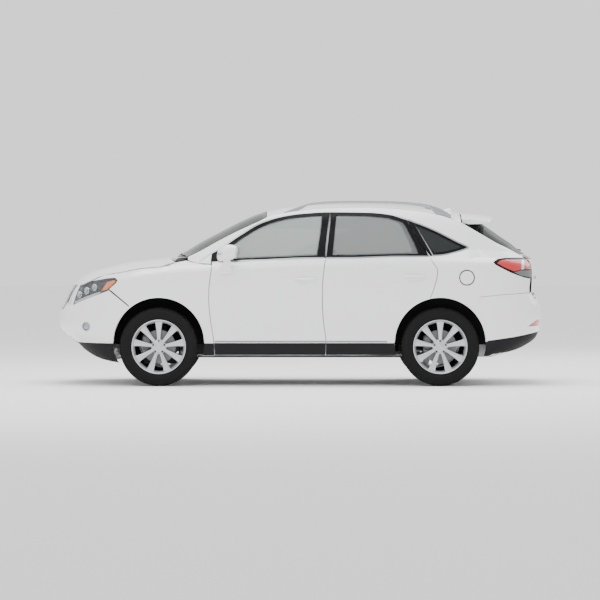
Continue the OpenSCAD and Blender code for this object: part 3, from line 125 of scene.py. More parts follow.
HOOD_SIDE = [(-2064, 978), (-1990, 1006), (-1930, 1036), (-1863, 1059), (-1711, 1083), (-1521, 1120),
             (-1331, 1137), (-1265, 1145), (-1217, 1172), (-1200, 1182)]
FENDER_TOP = [(-1990, 996), (-1930, 1028), (-1863, 1055), (-1711, 1079), (-1521, 1116), (-1331, 1133),
              (-1265, 1141), (-1217, 1162), (-1179, 1178), (-1085, 1196), (-968, 1162), (-845, 1156)]
# How far out a cutting prism reaches, and where the head lamps begin, in metres from the middle
FAR_Y, LAMP_INNER_Y = 1.3, 0.45
# Opening for the head lamp in the skins, then the lamp itself, which stops at a painted strip
LAMP_BACK = [(-2113, 798), (-2017, 838), (-1921, 872), (-1833, 905), (-1796, 942), (-1753, 976),
             (-1733, 1008), (-1758, 1034), (-1825, 1029), (-1921, 1013), (-2017, 992)]
HEADLIGHT = [(-2300, 770), (-2166, 772), *LAMP_BACK, (-2056, 975), (-2300, 975)]
LAMP_FACE = [(-2182, 774), (-2150, 776), *LAMP_BACK, (-2062, 980), (-2108, 964), (-2146, 880)]
TAIL_LAMP = [(1836, 1181), (1880, 1211), (1956, 1223), (2100, 1224), (2300, 1226), (2300, 1022),
             (2196, 1022), (2147, 1031), (2080, 1053), (2004, 1083), (1908, 1129), (1861, 1155)]
BUMPER_SEAM = [(-2400, 200), (-2400, 925), (-1822, 925), (-1800, 914), (-1612, 757), (-1612, 200)]
REAR_BUMPER_LINE = [(1685, 200), (1685, 700), (1706, 851), (1899, 871), (2050, 880), (2179, 889),
                    (2400, 889), (2400, 200)]
GLASS_MID = [(1245, 2190), (1267, 2163), (1293, 2124), (1358, 2046), (1423, 1949), (1492, 1851),
             (1548, 1769)]
GLASS_EDGE = [(1245, 2124), (1303, 2004), (1348, 1909), (1388, 1813), (1433, 1718), (1489, 1605),
              (1548, 1560)]
GATE_HALF = [(838, 556), (1000, 560), (1150, 566), (1210, 570)]
FLAP_X, FLAP_Z, FLAP_R = 1587, 1034, 72
CLADDING_TOP = 412


def lerp(a, b, t):
    return a + (b - a) * t


def clamp(value, low, high):
    return max(low, min(high, value))


def curve(points, u):
    """Smooth curve through (u, value) points that never overshoots them."""
    last = len(points) - 1

    def chord(i):
        return (points[i + 1][1] - points[i][1]) / (points[i + 1][0] - points[i][0])

    def slope(i):
        if i <= 0:
            return chord(0)
        if i >= last:
            return chord(last - 1)
        a, b = chord(i - 1), chord(i)
        return 0 if a * b <= 0 else 2 * a * b / (a + b)

    w = clamp(u, points[0][0], points[last][0])
    i = 0
    while i < last - 1 and w >= points[i + 1][0]:
        i += 1
    h = points[i + 1][0] - points[i][0]
    t = (w - points[i][0]) / h
    return ((2 * t**3 - 3 * t**2 + 1) * points[i][1] + (t**3 - 2 * t**2 + t) * h * slope(i)
            + (3 * t**2 - 2 * t**3) * points[i + 1][1] + (t**3 - t**2) * h * slope(i + 1))


def section_y(x, z):
    """Half width of the body before its corners are rounded off."""
    zc, zb = curve(CREASE, x), curve(BELT, x)
    shoulder = curve(FLANK, zc)
    if z <= zc:
        y = curve(FLANK, z)
    elif z <= zb:
        y = shoulder - (shoulder - curve(BELT_Y, x)) * ((z - zc) / (zb - zc)) ** 1.8
    else:
        y = curve(BELT_Y, x) - curve(LEAN, z - zb)
    return y - curve(REAR_LEAN, x) * clamp((z - zc) / 300, 0, 1.5)


def corner(u, power):
    return 1 if u <= 0 else 0 if u >= 1 else (1 - u**power) ** (1 / power)


def side_y(x, z):
    return (section_y(x, z) * corner((NOSE_START - x) / (NOSE_START - curve(NOSE, z)), NOSE_POWER)
            * corner((x - TAIL_START) / (curve(TAIL, z) - TAIL_START), TAIL_POWER))


def on_side(x, z, depth=0):
    """Point of the right-hand side, moved in by a depth."""
    return Vector((x, side_y(x, z) - depth, z)) * MM


def on_nose(a, z, depth=0):
    """Point of the nose at a plan angle in degrees, moved in by a depth."""
    c, s = math.cos(math.radians(a)), math.sin(math.radians(abs(a)))
    x = NOSE_START - (NOSE_START - curve(NOSE, z)) * max(c, 0) ** (2 / NOSE_POWER)
    y = math.copysign(section_y(x, z) * s ** (2 / NOSE_POWER), a)
    return Vector((x + depth * c, y - depth * math.copysign(s, a), z)) * MM


def on_tail(a, z, depth=0):
    """Point of the tail at a plan angle in degrees, moved in by a depth."""
    c, s = math.cos(math.radians(a)), math.sin(math.radians(abs(a)))
    x = TAIL_START + (curve(TAIL, z) - TAIL_START) * max(c, 0) ** (2 / TAIL_POWER)
    y = math.copysign(section_y(x, z) * s ** (2 / TAIL_POWER), a)
    return Vector((x - depth * c, y - depth * math.copysign(s, a), z)) * MM


def along(line, u):
    x = lerp(line[0][0], line[-1][0], u)
    return x, curve(line, x)


def hood_pt(u, v, lift=0):
    k = abs(v) ** 2.4
    m, e = along(HOOD_MID, u), along(HOOD_SIDE, u)
    y = side_y(*e) - SHUT_GAP - 4
    return Vector((lerp(m[0], e[0], k), v * y, lerp(m[1], e[1], abs(v) ** 2.8) + lift)) * MM


def roof_pt(x, v, lift=0):
    e, c = curve(ROOF_EDGE, x), curve(ROOF_CROWN, x)
    return Vector((x, v * (side_y(x, e - 1) - 53), e + (c - e) * (1 - abs(v) ** 2.2) + lift)) * MM


def screen_pt(u, v, lift=0):
    m, e, k = along(SCREEN_MID, u), along(SCREEN_EDGE, u), abs(v) ** 2.2
    y = side_y(e[0], e[1] + 2) - 52
    return Vector((lerp(m[0], e[0], k) - 0.5 * lift, v * y, lerp(m[1], e[1], k) + 0.85 * lift)) * MM


def gate_pt(v, z, lift=0):
    """Point of the tailgate's outer face."""
    if z <= 1212:
        half = curve(GATE_HALF, z)
        y = v * half
        x = TAIL_START + (curve(TAIL, z) - TAIL_START) * corner(
            abs(y) / section_y(TAIL_START + 300, z), TAIL_POWER)
    else:
        edge = curve(GLASS_EDGE, z)
        y = v * (side_y(edge, z) - 40 - 10)
        x = lerp(curve(GLASS_MID, z), edge, abs(v) ** 2.6)
    return Vector((x + lift, y, z)) * MM


# ---------------------------------------------------------------- sizes and colours
class SuvSizes(bpy.types.PropertyGroup):
    """Sizes of the skins and details."""

    skin_proud: FloatProperty(name="Skin offset", description="How far the painted skin stands over the panel",
                              default=0.003, min=0.001, max=0.006, unit="LENGTH")
    skin_thick: FloatProperty(name="Skin thickness", description="Thickness of the painted skins",
                              default=0.006, min=0.002, max=0.012, unit="LENGTH")
    mesh_step: FloatProperty(name="Mesh step", description="Size of a skin's mesh cell",
                             default=0.022, min=0.01, max=0.06, unit="LENGTH")
    bright_width: FloatProperty(name="Bright strip", description="Width of the bright strip round the windows",
                                default=0.013, min=0.004, max=0.03, unit="LENGTH")
    tread_depth: FloatProperty(name="Tread depth", description="Depth of the tyre's grooves",
                               default=0.007, min=0.002, max=0.012, unit="LENGTH")
    tread_blocks: IntProperty(name="Tread blocks", description="Blocks round a tyre's shoulder",
                              default=72, min=24, max=120)


class SuvColours(bpy.types.PropertyGroup):
    """Colours of the finishes."""

    paint: FloatVectorProperty(name="Paint", description="Body paint", subtype="COLOR", size=3,
                               default=(0.86, 0.87, 0.885), min=0, max=1)
    trim: FloatVectorProperty(name="Trim", description="Black plastic trim", subtype="COLOR", size=3,
                              default=(0.012, 0.012, 0.013), min=0, max=1)
    alloy: FloatVectorProperty(name="Alloy", description="Wheel lacquer", subtype="COLOR", size=3,
                               default=(0.50, 0.52, 0.54), min=0, max=1)
    leather: FloatVectorProperty(name="Leather", description="Seat leather", subtype="COLOR", size=3,
                                 default=(0.36, 0.31, 0.25), min=0, max=1)


def sizes():
    return bpy.context.scene.suv_sizes


def colours():
    return bpy.context.scene.suv_colours


# ---------------------------------------------------------------- materials
def grain_group():
    """Shared surface effect: fine noise that varies the roughness and gives a bump height."""
    group = bpy.data.node_groups.get("Surface grain")
    if group:
        return group
    group = bpy.data.node_groups.new("Surface grain", "ShaderNodeTree")
    face = group.interface
    for name, default in (("Scale", 400.0), ("Roughness", 0.3), ("Spread", 0.05)):
        face.new_socket(name, in_out="INPUT", socket_type="NodeSocketFloat").default_value = default
    face.new_socket("Roughness", in_out="OUTPUT", socket_type="NodeSocketFloat")
    face.new_socket("Height", in_out="OUTPUT", socket_type="NodeSocketFloat")
    nodes, links = group.nodes, group.links
    source, sink = nodes.new("NodeGroupInput"), nodes.new("NodeGroupOutput")
    place = nodes.new("ShaderNodeTexCoord")
    noise = nodes.new("ShaderNodeTexNoise")
    noise.inputs["Detail"].default_value = 3
    spread = nodes.new("ShaderNodeMath")
    spread.operation = "MULTIPLY_ADD"
    links.new(place.outputs["Object"], noise.inputs["Vector"])
    links.new(source.outputs["Scale"], noise.inputs["Scale"])
    links.new(noise.outputs["Fac"], spread.inputs[0])
    links.new(source.outputs["Spread"], spread.inputs[1])
    links.new(source.outputs["Roughness"], spread.inputs[2])
    links.new(spread.outputs[0], sink.inputs["Roughness"])
    links.new(noise.outputs["Fac"], sink.inputs["Height"])
    return group


def finish(name, colour, rough, scale=300.0, spread=0.05, bump=0.0, **sockets):
    """A procedural finish; sockets are constants of the shader by name."""
    if name in bpy.data.materials:
        return bpy.data.materials[name]
    material = bpy.data.materials.new(name)
    material.use_nodes = True
    nodes, links = material.node_tree.nodes, material.node_tree.links
    shader = nodes["Principled BSDF"]
    shader.inputs["Base Color"].default_value = (*colour, 1)
    for key, value in sockets.items():
        shader.inputs[key.replace("_", " ")].default_value = value
    grain = nodes.new("ShaderNodeGroup")
    grain.node_tree = grain_group()
    grain.inputs["Scale"].default_value = scale
    grain.inputs["Roughness"].default_value = rough
    grain.inputs["Spread"].default_value = spread
    links.new(grain.outputs["Roughness"], shader.inputs["Roughness"])
    if bump:
        node = nodes.new("ShaderNodeBump")
        node.inputs["Strength"].default_value = bump
        node.inputs["Distance"].default_value = 0.001
        links.new(grain.outputs["Height"], node.inputs["Height"])
        links.new(node.outputs["Normal"], shader.inputs["Normal"])
    return material


def paint():
    return finish("Pearl paint", colours().paint, 0.24, 900, 0.06, Coat_Weight=0.8, Coat_Roughness=0.04,
                  Metallic=0.05)


def black_trim():
    return finish("Black plastic", colours().trim, 0.55, 1500, 0.15, 0.25, Specular_IOR_Level=0.12)


def gloss_black():
    return finish("Gloss black", (0.006, 0.006, 0.007), 0.16, 500, 0.05, Specular_IOR_Level=0.10)


def bright():
    return finish("Bright metal", (0.40, 0.41, 0.43), 0.16, 500, 0.06, Metallic=1.0)


def satin():
    return finish("Satin alloy", (0.36, 0.365, 0.38), 0.3, 800, 0.08, Metallic=0.85)


def dark_satin():
    return finish("Dark satin metal", (0.16, 0.165, 0.17), 0.35, 800, 0.08, Metallic=0.7)


def alloy():
    return finish("Wheel lacquer", colours().alloy, 0.28, 800, 0.08, Metallic=0.55, Coat_Weight=0.6)


def rubber():
    return finish("Tyre rubber", (0.009, 0.009, 0.009), 0.75, 700, 0.15, 0.3, Specular_IOR_Level=0.12)


def clear_glass():
    return finish("Clear safety glass", (0.30, 0.36, 0.34), 0.03, 200, 0.02, Alpha=0.34, IOR=1.5)


def rear_side_glass():
    return finish("Rear side glass", (0.20, 0.22, 0.22), 0.04, 200, 0.02, Alpha=0.42, IOR=1.5)


def screen_glass():
    return finish("Windshield glass", (0.03, 0.04, 0.04), 0.08, 200, 0.02, Alpha=0.85,
                  Specular_IOR_Level=0.03)


def quarter_tint():
    return finish("Quarter glass", (0.03, 0.033, 0.034), 0.05, 200, 0.02, Alpha=0.85,
                  Specular_IOR_Level=0.08)


def rear_glass():
    return finish("Rear glass", (0.010, 0.011, 0.012), 0.10, 200, 0.02, Alpha=0.98, Specular_IOR_Level=0.01)


def lens_clear():
    return finish("Clear lens", (0.30, 0.32, 0.34), 0.03, 300, 0.02, Alpha=0.10, IOR=1.5)


def lens_red():
    return finish("Red lens", (0.50, 0.006, 0.010), 0.06, 600, 0.05, Coat_Weight=0.6)


def lens_amber():
    return finish("Amber lens", (0.86, 0.22, 0.02), 0.1, 600, 0.05, Coat_Weight=0.6)


def lens_glass():
    return finish("Projector lens", (0.30, 0.34, 0.40), 0.03, 300, 0.02, Metallic=0.6, Coat_Weight=1.0)


def reflector():
    return finish("Reflector", (0.70, 0.71, 0.73), 0.16, 700, 0.08, Metallic=1.0)


def lamp_black():
    return finish("Lamp housing", (0.05, 0.05, 0.055), 0.25, 700, 0.08, Metallic=0.4)


def under_coat():
    return finish("Underbody coating", (0.025, 0.025, 0.027), 0.6, 250, 0.2, 0.4)


def steel():
    return finish("Plain steel", (0.42, 0.42, 0.43), 0.34, 500, 0.12, 0.1, Metallic=1.0)


def cast():
    return finish("Cast iron", (0.16, 0.16, 0.165), 0.5, 350, 0.2, 0.5, Metallic=0.7)


def cabin_plastic():
    return finish("Cabin plastic", (0.17, 0.15, 0.125), 0.6, 1800, 0.15, 0.3)


def door_trim():
    return finish("Door trim", (0.10, 0.092, 0.08), 0.6, 1500, 0.15, 0.3)


def leather():
    return finish("Seat leather", colours().leather, 0.45, 260, 0.16, 0.45)


def dark_leather():
    return finish("Grip leather", (0.03, 0.028, 0.026), 0.42, 300, 0.15, 0.4)


def carpet():
    return finish("Carpet", (0.10, 0.09, 0.075), 0.9, 1200, 0.1, 0.8)


# ---------------------------------------------------------------- making pieces
def grid(cols, rows, place):
    """Grid of cells whose corners are placed by place(u, v), each from 0 to 1."""
    bm = bmesh.new()
    bmesh.ops.create_grid(bm, x_segments=cols, y_segments=rows, size=0.5)
    for v in bm.verts:
        v.co = place(v.co.x + 0.5, v.co.y + 0.5)
    return bm


def facing(bm, direction):
    """Turns a sheet's faces towards a direction."""
    bmesh.ops.recalc_face_normals(bm, faces=bm.faces[:])
    bm.normal_update()
    if sum(f.normal.dot(direction) * f.calc_area() for f in bm.faces) < 0:
        bmesh.ops.reverse_faces(bm, faces=bm.faces[:])
    return bm


def link(name, bm):
    mesh = bpy.data.meshes.new(name)
    bm.to_mesh(mesh)
    bm.free()
    piece = bpy.data.objects.new(name, mesh)
    bpy.context.scene.collection.objects.link(piece)
    return piece


def unlink(piece):
    mesh = piece.data
    bpy.data.objects.remove(piece)
    bpy.data.meshes.remove(mesh)


def applied(bm, add):
    """The bmesh after the modifiers that add(object) puts on it."""
    work = link("work", bm)
    add(work)
    graph = bpy.context.evaluated_depsgraph_get()
    mesh = bpy.data.meshes.new_from_object(work.evaluated_get(graph))
    result = bmesh.new()
    result.from_mesh(mesh)
    bpy.data.meshes.remove(mesh)
    unlink(work)
    return result


def shell(bm, thick, direction):
    """Gives a sheet a thickness behind the face that looks in a direction."""
    facing(bm, direction)

    def add(work):
        m = work.modifiers.new("thickness", "SOLIDIFY")
        m.thickness = thick
        m.offset = -1
    return applied(bm, add)


def cut(bm, blade, operation="DIFFERENCE"):
    """Cuts one closed mesh with another."""
    tool = link("blade", blade)

    def add(work):
        m = work.modifiers.new("cut", "BOOLEAN")
        m.object = tool
        m.operation = operation
        m.solver = "EXACT"
    result = applied(bm, add)
    unlink(tool)
    return result


def prism(outline, axis="Y", low=0.2, high=FAR_Y):
    """Closed prism on an outline in millimetres, along Y (x, z points) or X (y, z points)."""
    bm = bmesh.new()
    ring = [bm.verts.new((a * MM, low, b * MM) if axis == "Y" else (low, a * MM, b * MM))
            for a, b in outline]
    edges = [bm.edges.new((ring[i - 1], ring[i])) for i in range(len(ring))]
    bmesh.ops.triangle_fill(bm, use_beauty=True, edges=edges, normal=(0, 1, 0) if axis == "Y" else (1, 0, 0))
    grown = bmesh.ops.extrude_face_region(bm, geom=bm.faces[:])["geom"]
    step = (0, high - low, 0) if axis == "Y" else (high - low, 0, 0)
    bmesh.ops.translate(bm, verts=[g for g in grown if isinstance(g, bmesh.types.BMVert)], vec=step)
    bmesh.ops.recalc_face_normals(bm, faces=bm.faces[:])
    return bm


def drum(centre, radius, axis="Y", length=3.0, segments=96):
    """Closed round bar in metres."""
    bm = bmesh.new()
    turn = {"Y": Matrix.Rotation(math.radians(90), 4, "X"), "X": Matrix.Rotation(math.radians(90), 4, "Y"),
            "Z": Matrix.Identity(4)}[axis]
    bmesh.ops.create_cone(bm, cap_ends=True, segments=segments, radius1=radius,
                          radius2=radius, depth=length, matrix=Matrix.Translation(centre) @ turn)
    return bm


def arch(x):
    return drum(Vector((x, 0, ARCH_Z)) * MM, ARCH_R * MM)


def box(low, high, round_by=0.0, segments=3):
    """Box between two corners in millimetres with rounded edges."""
    bm = bmesh.new()
    a, b = Vector(low) * MM, Vector(high) * MM
    place = Matrix.Translation((a + b) / 2) @ Matrix.Diagonal((*(b - a), 1))
    bmesh.ops.create_cube(bm, size=1, matrix=place)
    if round_by:
        bmesh.ops.bevel(bm, geom=bm.edges[:], offset=round_by * MM, segments=segments, profile=0.5,
                        affect="EDGES", material=-1)
    return bm


def ball(centre, radii, power=2.0, cuts=5):
    """Rounded block: a cube's faces pushed out to a super-ellipsoid, in millimetres."""
    bm = bmesh.new()
    bmesh.ops.create_cube(bm, size=2)
    bmesh.ops.subdivide_edges(bm, edges=bm.edges[:], cuts=2 * cuts + 1, use_grid_fill=True)
    for v in bm.verts:
        n = (abs(v.co.x) ** power + abs(v.co.y) ** power + abs(v.co.z) ** power) ** (1 / power)
        v.co = Vector([(centre[i] + radii[i] * v.co[i] / n) * MM for i in range(3)])
    return bm


def joined(*parts):
    """Several meshes as one."""
    whole = bmesh.new()
    for part in parts:
        mesh = bpy.data.meshes.new("part")
        part.to_mesh(mesh)
        part.free()
        whole.from_mesh(mesh)
        bpy.data.meshes.remove(mesh)
    return whole


def piece(name, bm, material, body, slot, replaces=(), smooth=40):
    """Names a finished mesh, smooths it up to an angle and lets it ride on a body."""
    limit = math.radians(smooth)
    for f in bm.faces:
        f.smooth = True
    for e in bm.edges:
        e.smooth = len(e.link_faces) != 2 or e.calc_face_angle(0) < limit
    obj = link(name, bm)
    obj.data.materials.append(material)
    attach(obj, body)
    if replaces:
        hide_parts(*replaces)
    return obj


def twin(bm):
    """The left-hand copy of a right-hand mesh."""
    other = bm.copy()
    bmesh.ops.scale(other, vec=(1, -1, 1), verts=other.verts[:])
    bmesh.ops.reverse_faces(other, faces=other.faces[:])
    return other


def pair(name, bm, material, body, slot, replaces=()):
    """Right and left pieces from a right-hand mesh; {side} in a name becomes left or right."""
    other = twin(bm)
    made = []
    for side, mesh in (("right", bm), ("left", other)):
        made.append(piece(f"{name}_{side}", mesh, material, body.format(side=side), slot,
                          [r.format(side=side) for r in replaces]))
    return made


def sampled(line, low, high, count, shift=0):
    """Points (x, height) down a shut line between two heights."""
    return [(curve(line, lerp(low, high, i / count)) + shift, lerp(low, high, i / count))
            for i in range(count + 1)]


def side_sheet(outline, depth, thick, step=None):
    """Skin of the right-hand side inside an outline of (x, z) points."""
    step = step or sizes().mesh_step / MM
    xs, zs = [p[0] for p in outline], [p[1] for p in outline]
    x0, x1, z0, z1 = min(xs) - 6, max(xs) + 6, min(zs) - 6, max(zs) + 6
    bm = grid(max(2, round((x1 - x0) / step)), max(2, round((z1 - z0) / step)),
              lambda u, v: on_side(lerp(x0, x1, u), lerp(z0, z1, v), depth))
    return cut(shell(bm, thick * MM, Vector((0, 1, 0))), prism(outline), "INTERSECT")


def ribbon(path, width, depth, thick, inward=0.5, closed=False):
    """Strip of side skin along (x, z) points; inward is the share of its width on the path's right."""
    n = len(path)
    points = [Vector(p) for p in path]

    def across(i):
        a = points[(i - 1) % n] if closed or i > 0 else points[i]
        b = points[(i + 1) % n] if closed or i < n - 1 else points[i]
        t = (b - a).normalized()
        return Vector((t.y, -t.x))

    def place(u, v):
        i = round(u * (n if closed else n - 1)) % (n if closed else n + 1)
        p = points[i] + across(i) * width * (v - 1 + inward)
        return on_side(p.x, p.y, depth)
    bm = grid(n if closed else n - 1, 2, place)
    if closed:
        bmesh.ops.remove_doubles(bm, verts=bm.verts[:], dist=1e-6)
    return shell(bm, thick * MM, Vector((0, 1, 0)))


def dense(path, step=40, closed=False):
    """The same path with points no further apart than a step."""
    points = [Vector(p) for p in path] + ([Vector(path[0])] if closed else [])
    out = []
    for a, b in zip(points, points[1:]):
        count = max(1, round((b - a).length / step))
        out += [tuple(a.lerp(b, k / count)) for k in range(count)]
    return out if closed else out + [tuple(points[-1])]


def quarter_ring():
    """Outline of the quarter glass, from its lower front corner to the tip and back over the top."""
    return dense(QUARTER_LOW, 30) + dense(QUARTER_HIGH, 30)[::-1]


# ---------------------------------------------------------------- body skins
def proud():
    return -sizes().skin_proud / MM


def thick():
    return sizes().skin_thick / MM


def door_outline(front, rear, low, top_shift):
    """Outline of a door's painted part, from its foot to the belt."""
    top = [(x, z + top_shift) for x, z in dense(BELT_LIP, 60)]
    x0, x1 = curve(front, 1150) + SHUT_GAP / 2, curve(rear, 1210) - SHUT_GAP / 2
    belt = [(x0, curve(BELT_LIP, x0) + top_shift)] + [p for p in top if x0 + 8 < p[0] < x1 - 8]
    belt.append((x1, curve(BELT_LIP, x1) + top_shift))
    up = sampled(front, low, belt[0][1] - 12, 24, SHUT_GAP / 2)
    down = sampled(rear, low, belt[-1][1] - 12, 24, -SHUT_GAP / 2)[::-1]
    return up + belt + down


def build_doors():
    """Painted skins, sill cladding, lips, creases and black window frames of the four doors."""
    for name, front, rear, window in (("front", FRONT_LINE, MIDDLE_LINE, FRONT_WINDOW),
                                      ("rear", MIDDLE_LINE, REAR_LINE, REAR_WINDOW)):
        body = name + "_{side}_door"
        skin = side_sheet(door_outline(front, rear, CLADDING_TOP, 6), proud(), thick())
        low = sampled(front, 298, CLADDING_TOP - 3, 6, SHUT_GAP / 2)
        high = sampled(rear, 298, CLADDING_TOP - 3, 6, -SHUT_GAP / 2)[::-1]
        cladding = side_sheet(low + high, proud() + 2, thick(), 30)
        if name == "rear":
            skin = cut(skin, arch(REAR_AXLE_X))
            cladding = cut(cladding, arch(REAR_AXLE_X))
        pair(f"{name}_door_skin", skin, paint(), body, "paint")
        pair(f"{name}_door_cladding", cladding, black_trim(), body, "paint")
        x0, x1 = (-812, 240) if name == "front" else (252, 830)
        lip = ribbon([(lerp(x0, x1, i / 24), 421) for i in range(25)],
                     12, proud() - 5, 8)
        pair(f"{name}_door_lip", lip, bright(), body, "paint")
        # Thin black strip just above the lip: a painted shadow line along the lip's top edge.
        line = ribbon([(lerp(x0, x1, i / 24), 430) for i in range(25)], 5, proud() - 1, 4)
        pair(f"{name}_door_crease", line, black_trim(), body, "paint")
        frame_path = dense(window, 45, True)
        black = ribbon(frame_path, 32, 1.5, 3.5, 1.0, True)
        pair(f"{name}_window_frame", black, gloss_black(), body, "paint")
        # The door nodes take the dark door trim: their inner sides are real trim, and their edges in the shut
        # gaps are dark as painted shade of the gaps.
        for side in ("left", "right"):
            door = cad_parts[f"{name}_door_{side}"]
            dress(door, door_trim())


def dress(obj, material):
    """Gives a frame node one finish."""
    obj.data.materials.clear()
    obj.data.materials.append(material)


def build_fenders():
    """Front wings with their black lower ends."""
    edge = sampled(FRONT_LINE, CLADDING_TOP, 1150, 30, -SHUT_GAP / 2)
    top = dense(FENDER_TOP, 45)[::-1]
    outline = edge + top + [(-1992, 700), (-1560, CLADDING_TOP)]
    skin = side_sheet(outline, proud(), thick())
    skin = cut(skin, arch(FRONT_AXLE_X))
    skin = cut(skin, prism(HEADLIGHT))
    skin = cut(skin, prism(BUMPER_SEAM))
    pair("wing_skin", skin, paint(), "body", "paint")
    low = sampled(FRONT_LINE, 292, CLADDING_TOP - 3, 5, -SHUT_GAP / 2)
    foot = cut(side_sheet(low + [(-960, CLADDING_TOP - 3), (-960, 292)], proud() + 2, thick(), 30),
               arch(FRONT_AXLE_X))
    pair("wing_foot", foot, black_trim(), "body", "paint")
    for side in ("left", "right"):
        dress(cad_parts[f"front_fender_{side}"], paint())


def build_quarters():
    """Rear quarters, roof pillars and the black divisions round the quarter glass."""
    front = sampled(REAR_LINE, 500, 1222, 30, SHUT_GAP / 2) + [(1029, 1577)]
    rear = [(curve(QUARTER_REAR, z), z) for z in range(1540, 860, -24)]
    outline = front + dense(QUARTER_TOP, 40) + rear + [(2205, 600), (1400, 500)]
    skin = side_sheet(outline, proud(), thick())
    skin = cut(skin, prism(quarter_ring()))
    skin = cut(skin, arch(REAR_AXLE_X))
    skin = cut(skin, prism(TAIL_LAMP))
    skin = cut(skin, prism(REAR_BUMPER_LINE))
    other = twin(skin)
    flap = on_side(FLAP_X, FLAP_Z)
    other = cut(other, drum(Vector((flap.x, -flap.y, flap.z)), (FLAP_R + 10) * MM, "Y", 0.3))
    piece("quarter_skin_right", skin, paint(), "body", "paint")
    piece("quarter_skin_left", other, paint(), "body", "paint")
    strip_x = [-1066, -1010, -950, -900, -849, -846, -761, -666, -571, -476, -381, -306, -196, -96, 0,
               150, 293, 474, 664, 854, 940, 1033]

    def foot(x):
        return curve(CORNER_FOOT, x) if x < -848 else curve(WINDOW_TOP, x) + 7

    def place(u, v):
        x = lerp(strip_x[0], strip_x[-1], u)
        return on_side(x, lerp(foot(x), curve(ROOF_EDGE, x) - 0.5, v), proud())
    pair("roof_side_skin", shell(grid(110, 6, place), 0.006, Vector((0, 1, 0))), paint(), "body", "paint")
    division = [(1243, 1234), (1262, 1249), (1082, 1562), (1046, 1592), (1024, 1580), (1150, 1358)]
    pair("quarter_division", side_sheet(division, proud() - 1.5, 5, 24), gloss_black(), "body", "paint")
    ring = quarter_ring()
    pair("quarter_frame", ribbon(ring[::-1], 22, 8, 5, 1.0, True), gloss_black(), "body", "paint")
    for side in ("left", "right"):
        dress(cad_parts[f"body_side_{side}"], paint())
    # sill seen below the doors
    sill = [(-905, 286), (-905, 293), (890, 293), (890, 286)]
    pair("sill_foot", side_sheet(sill, 20, 6, 40), black_trim(), "body", "paint")


def build_flap():
    """Round fuel flap on the left."""
    half = 90
    square = [(FLAP_X + half * x, FLAP_Z + half * z) for x, z in ((-1, -1), (-1, 1), (1, 1), (1, -1))]
    skin = cut(side_sheet(square, proud(), 5, 12),
               drum(on_side(FLAP_X, FLAP_Z), (FLAP_R - 8) * MM, "Y", 0.3), "INTERSECT")
    piece("fuel_flap_skin", twin(skin), paint(), "fuel_flap", "paint")
    skin.free()


def build_hood():
    """Hood skin with two soft ridges that run back from the lamps."""
    def place(u, v):
        v = 2 * v - 1
        ridge = 5 * math.exp(-((abs(v) - 0.62) / 0.10) ** 2) * clamp(4 * u, 0, 1)
        return hood_pt(lerp(0.004, 0.996, u), v * 0.999, 3 + ridge)
    piece("hood_skin", shell(grid(70, 80, place), 0.005, Vector((0, 0, 1))), paint(), "hood", "paint")
    dress(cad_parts["hood"], paint())


def build_roof():
    """Roof skin and the shark-fin aerial."""
    x0, x1 = -318, 1540

    def place(u, v):
        return roof_pt(lerp(x0, x1, u), 2 * v - 1, 3)
    piece("roof_skin", shell(grid(80, 60, place), 0.005, Vector((0, 0, 1))), paint(), "body", "paint")
    dress(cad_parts["roof"], cabin_plastic())

    def fin(u, v):
        x = lerp(1375, 1478, u)
        top = 48 * u ** 0.7 * (1 - clamp((u - 0.86) / 0.14, 0, 1) ** 2 * 0.75)
        a = math.pi * v
        base = curve(ROOF_CROWN, x)
        return Vector((x, 20 * math.cos(a) * (1 - 0.55 * math.sin(a)), base + top * math.sin(a))) * MM
    piece("aerial_fin", shell(grid(24, 20, fin), 0.002, Vector((0, 0, 1))), paint(), "body", "paint")


def build_screen():
    """Windshield with its black border, cowl and wipers."""
    def place(u, v):
        return screen_pt(u, 2 * v - 1, 3)
    piece("windshield_pane", shell(grid(40, 50, place), 0.005, Vector((-1, 0, 1))), screen_glass(), "body",
          "clear_glass", ["windshield"])

    def band(u0, u1, v0, v1, n, m):
        return shell(grid(n, m, lambda u, v: screen_pt(lerp(u0, u1, u), lerp(v0, v1, v), 5.5)), 0.002,
                     Vector((-1, 0, 1)))
    border = joined(band(0, 0.09, -1, 1, 4, 40), band(0.96, 1, -1, 1, 2, 40),
                    band(0.09, 0.96, -1, -0.93, 40, 2), band(0.09, 0.96, 0.93, 1, 40, 2))
    piece("windshield_border", border, gloss_black(), "body", "black_trim")
    for i, (y0, y1) in enumerate(((-640, -20), (-30, 560))):
        arm = grid(24, 8, lambda u, v: screen_pt(lerp(0.02, 0.05, u), lerp(y0, y1, u) / 800, 8)
                   + 0.005 * Vector((math.cos(2 * math.pi * v), 0, math.sin(2 * math.pi * v))))
        bmesh.ops.remove_doubles(arm, verts=arm.verts[:], dist=1e-6)
        bmesh.ops.holes_fill(arm, edges=[e for e in arm.edges if e.is_boundary], sides=0)
        piece(f"wiper_{i + 1}", facing(arm, Vector((0, 0, 1))), black_trim(), "body", "black_trim")


def pane(outline, margin, depth, thickness):
    """Pane of side glass inside an outline, moved in by a margin."""
    n = len(outline)
    points = [Vector(p) for p in outline]
    inner = []
    for i in range(n):
        t = (points[(i + 1) % n] - points[i - 1]).normalized()
        inner.append(tuple(points[i] + Vector((t.y, -t.x)) * margin))
    return side_sheet(inner, depth, thickness, 30)


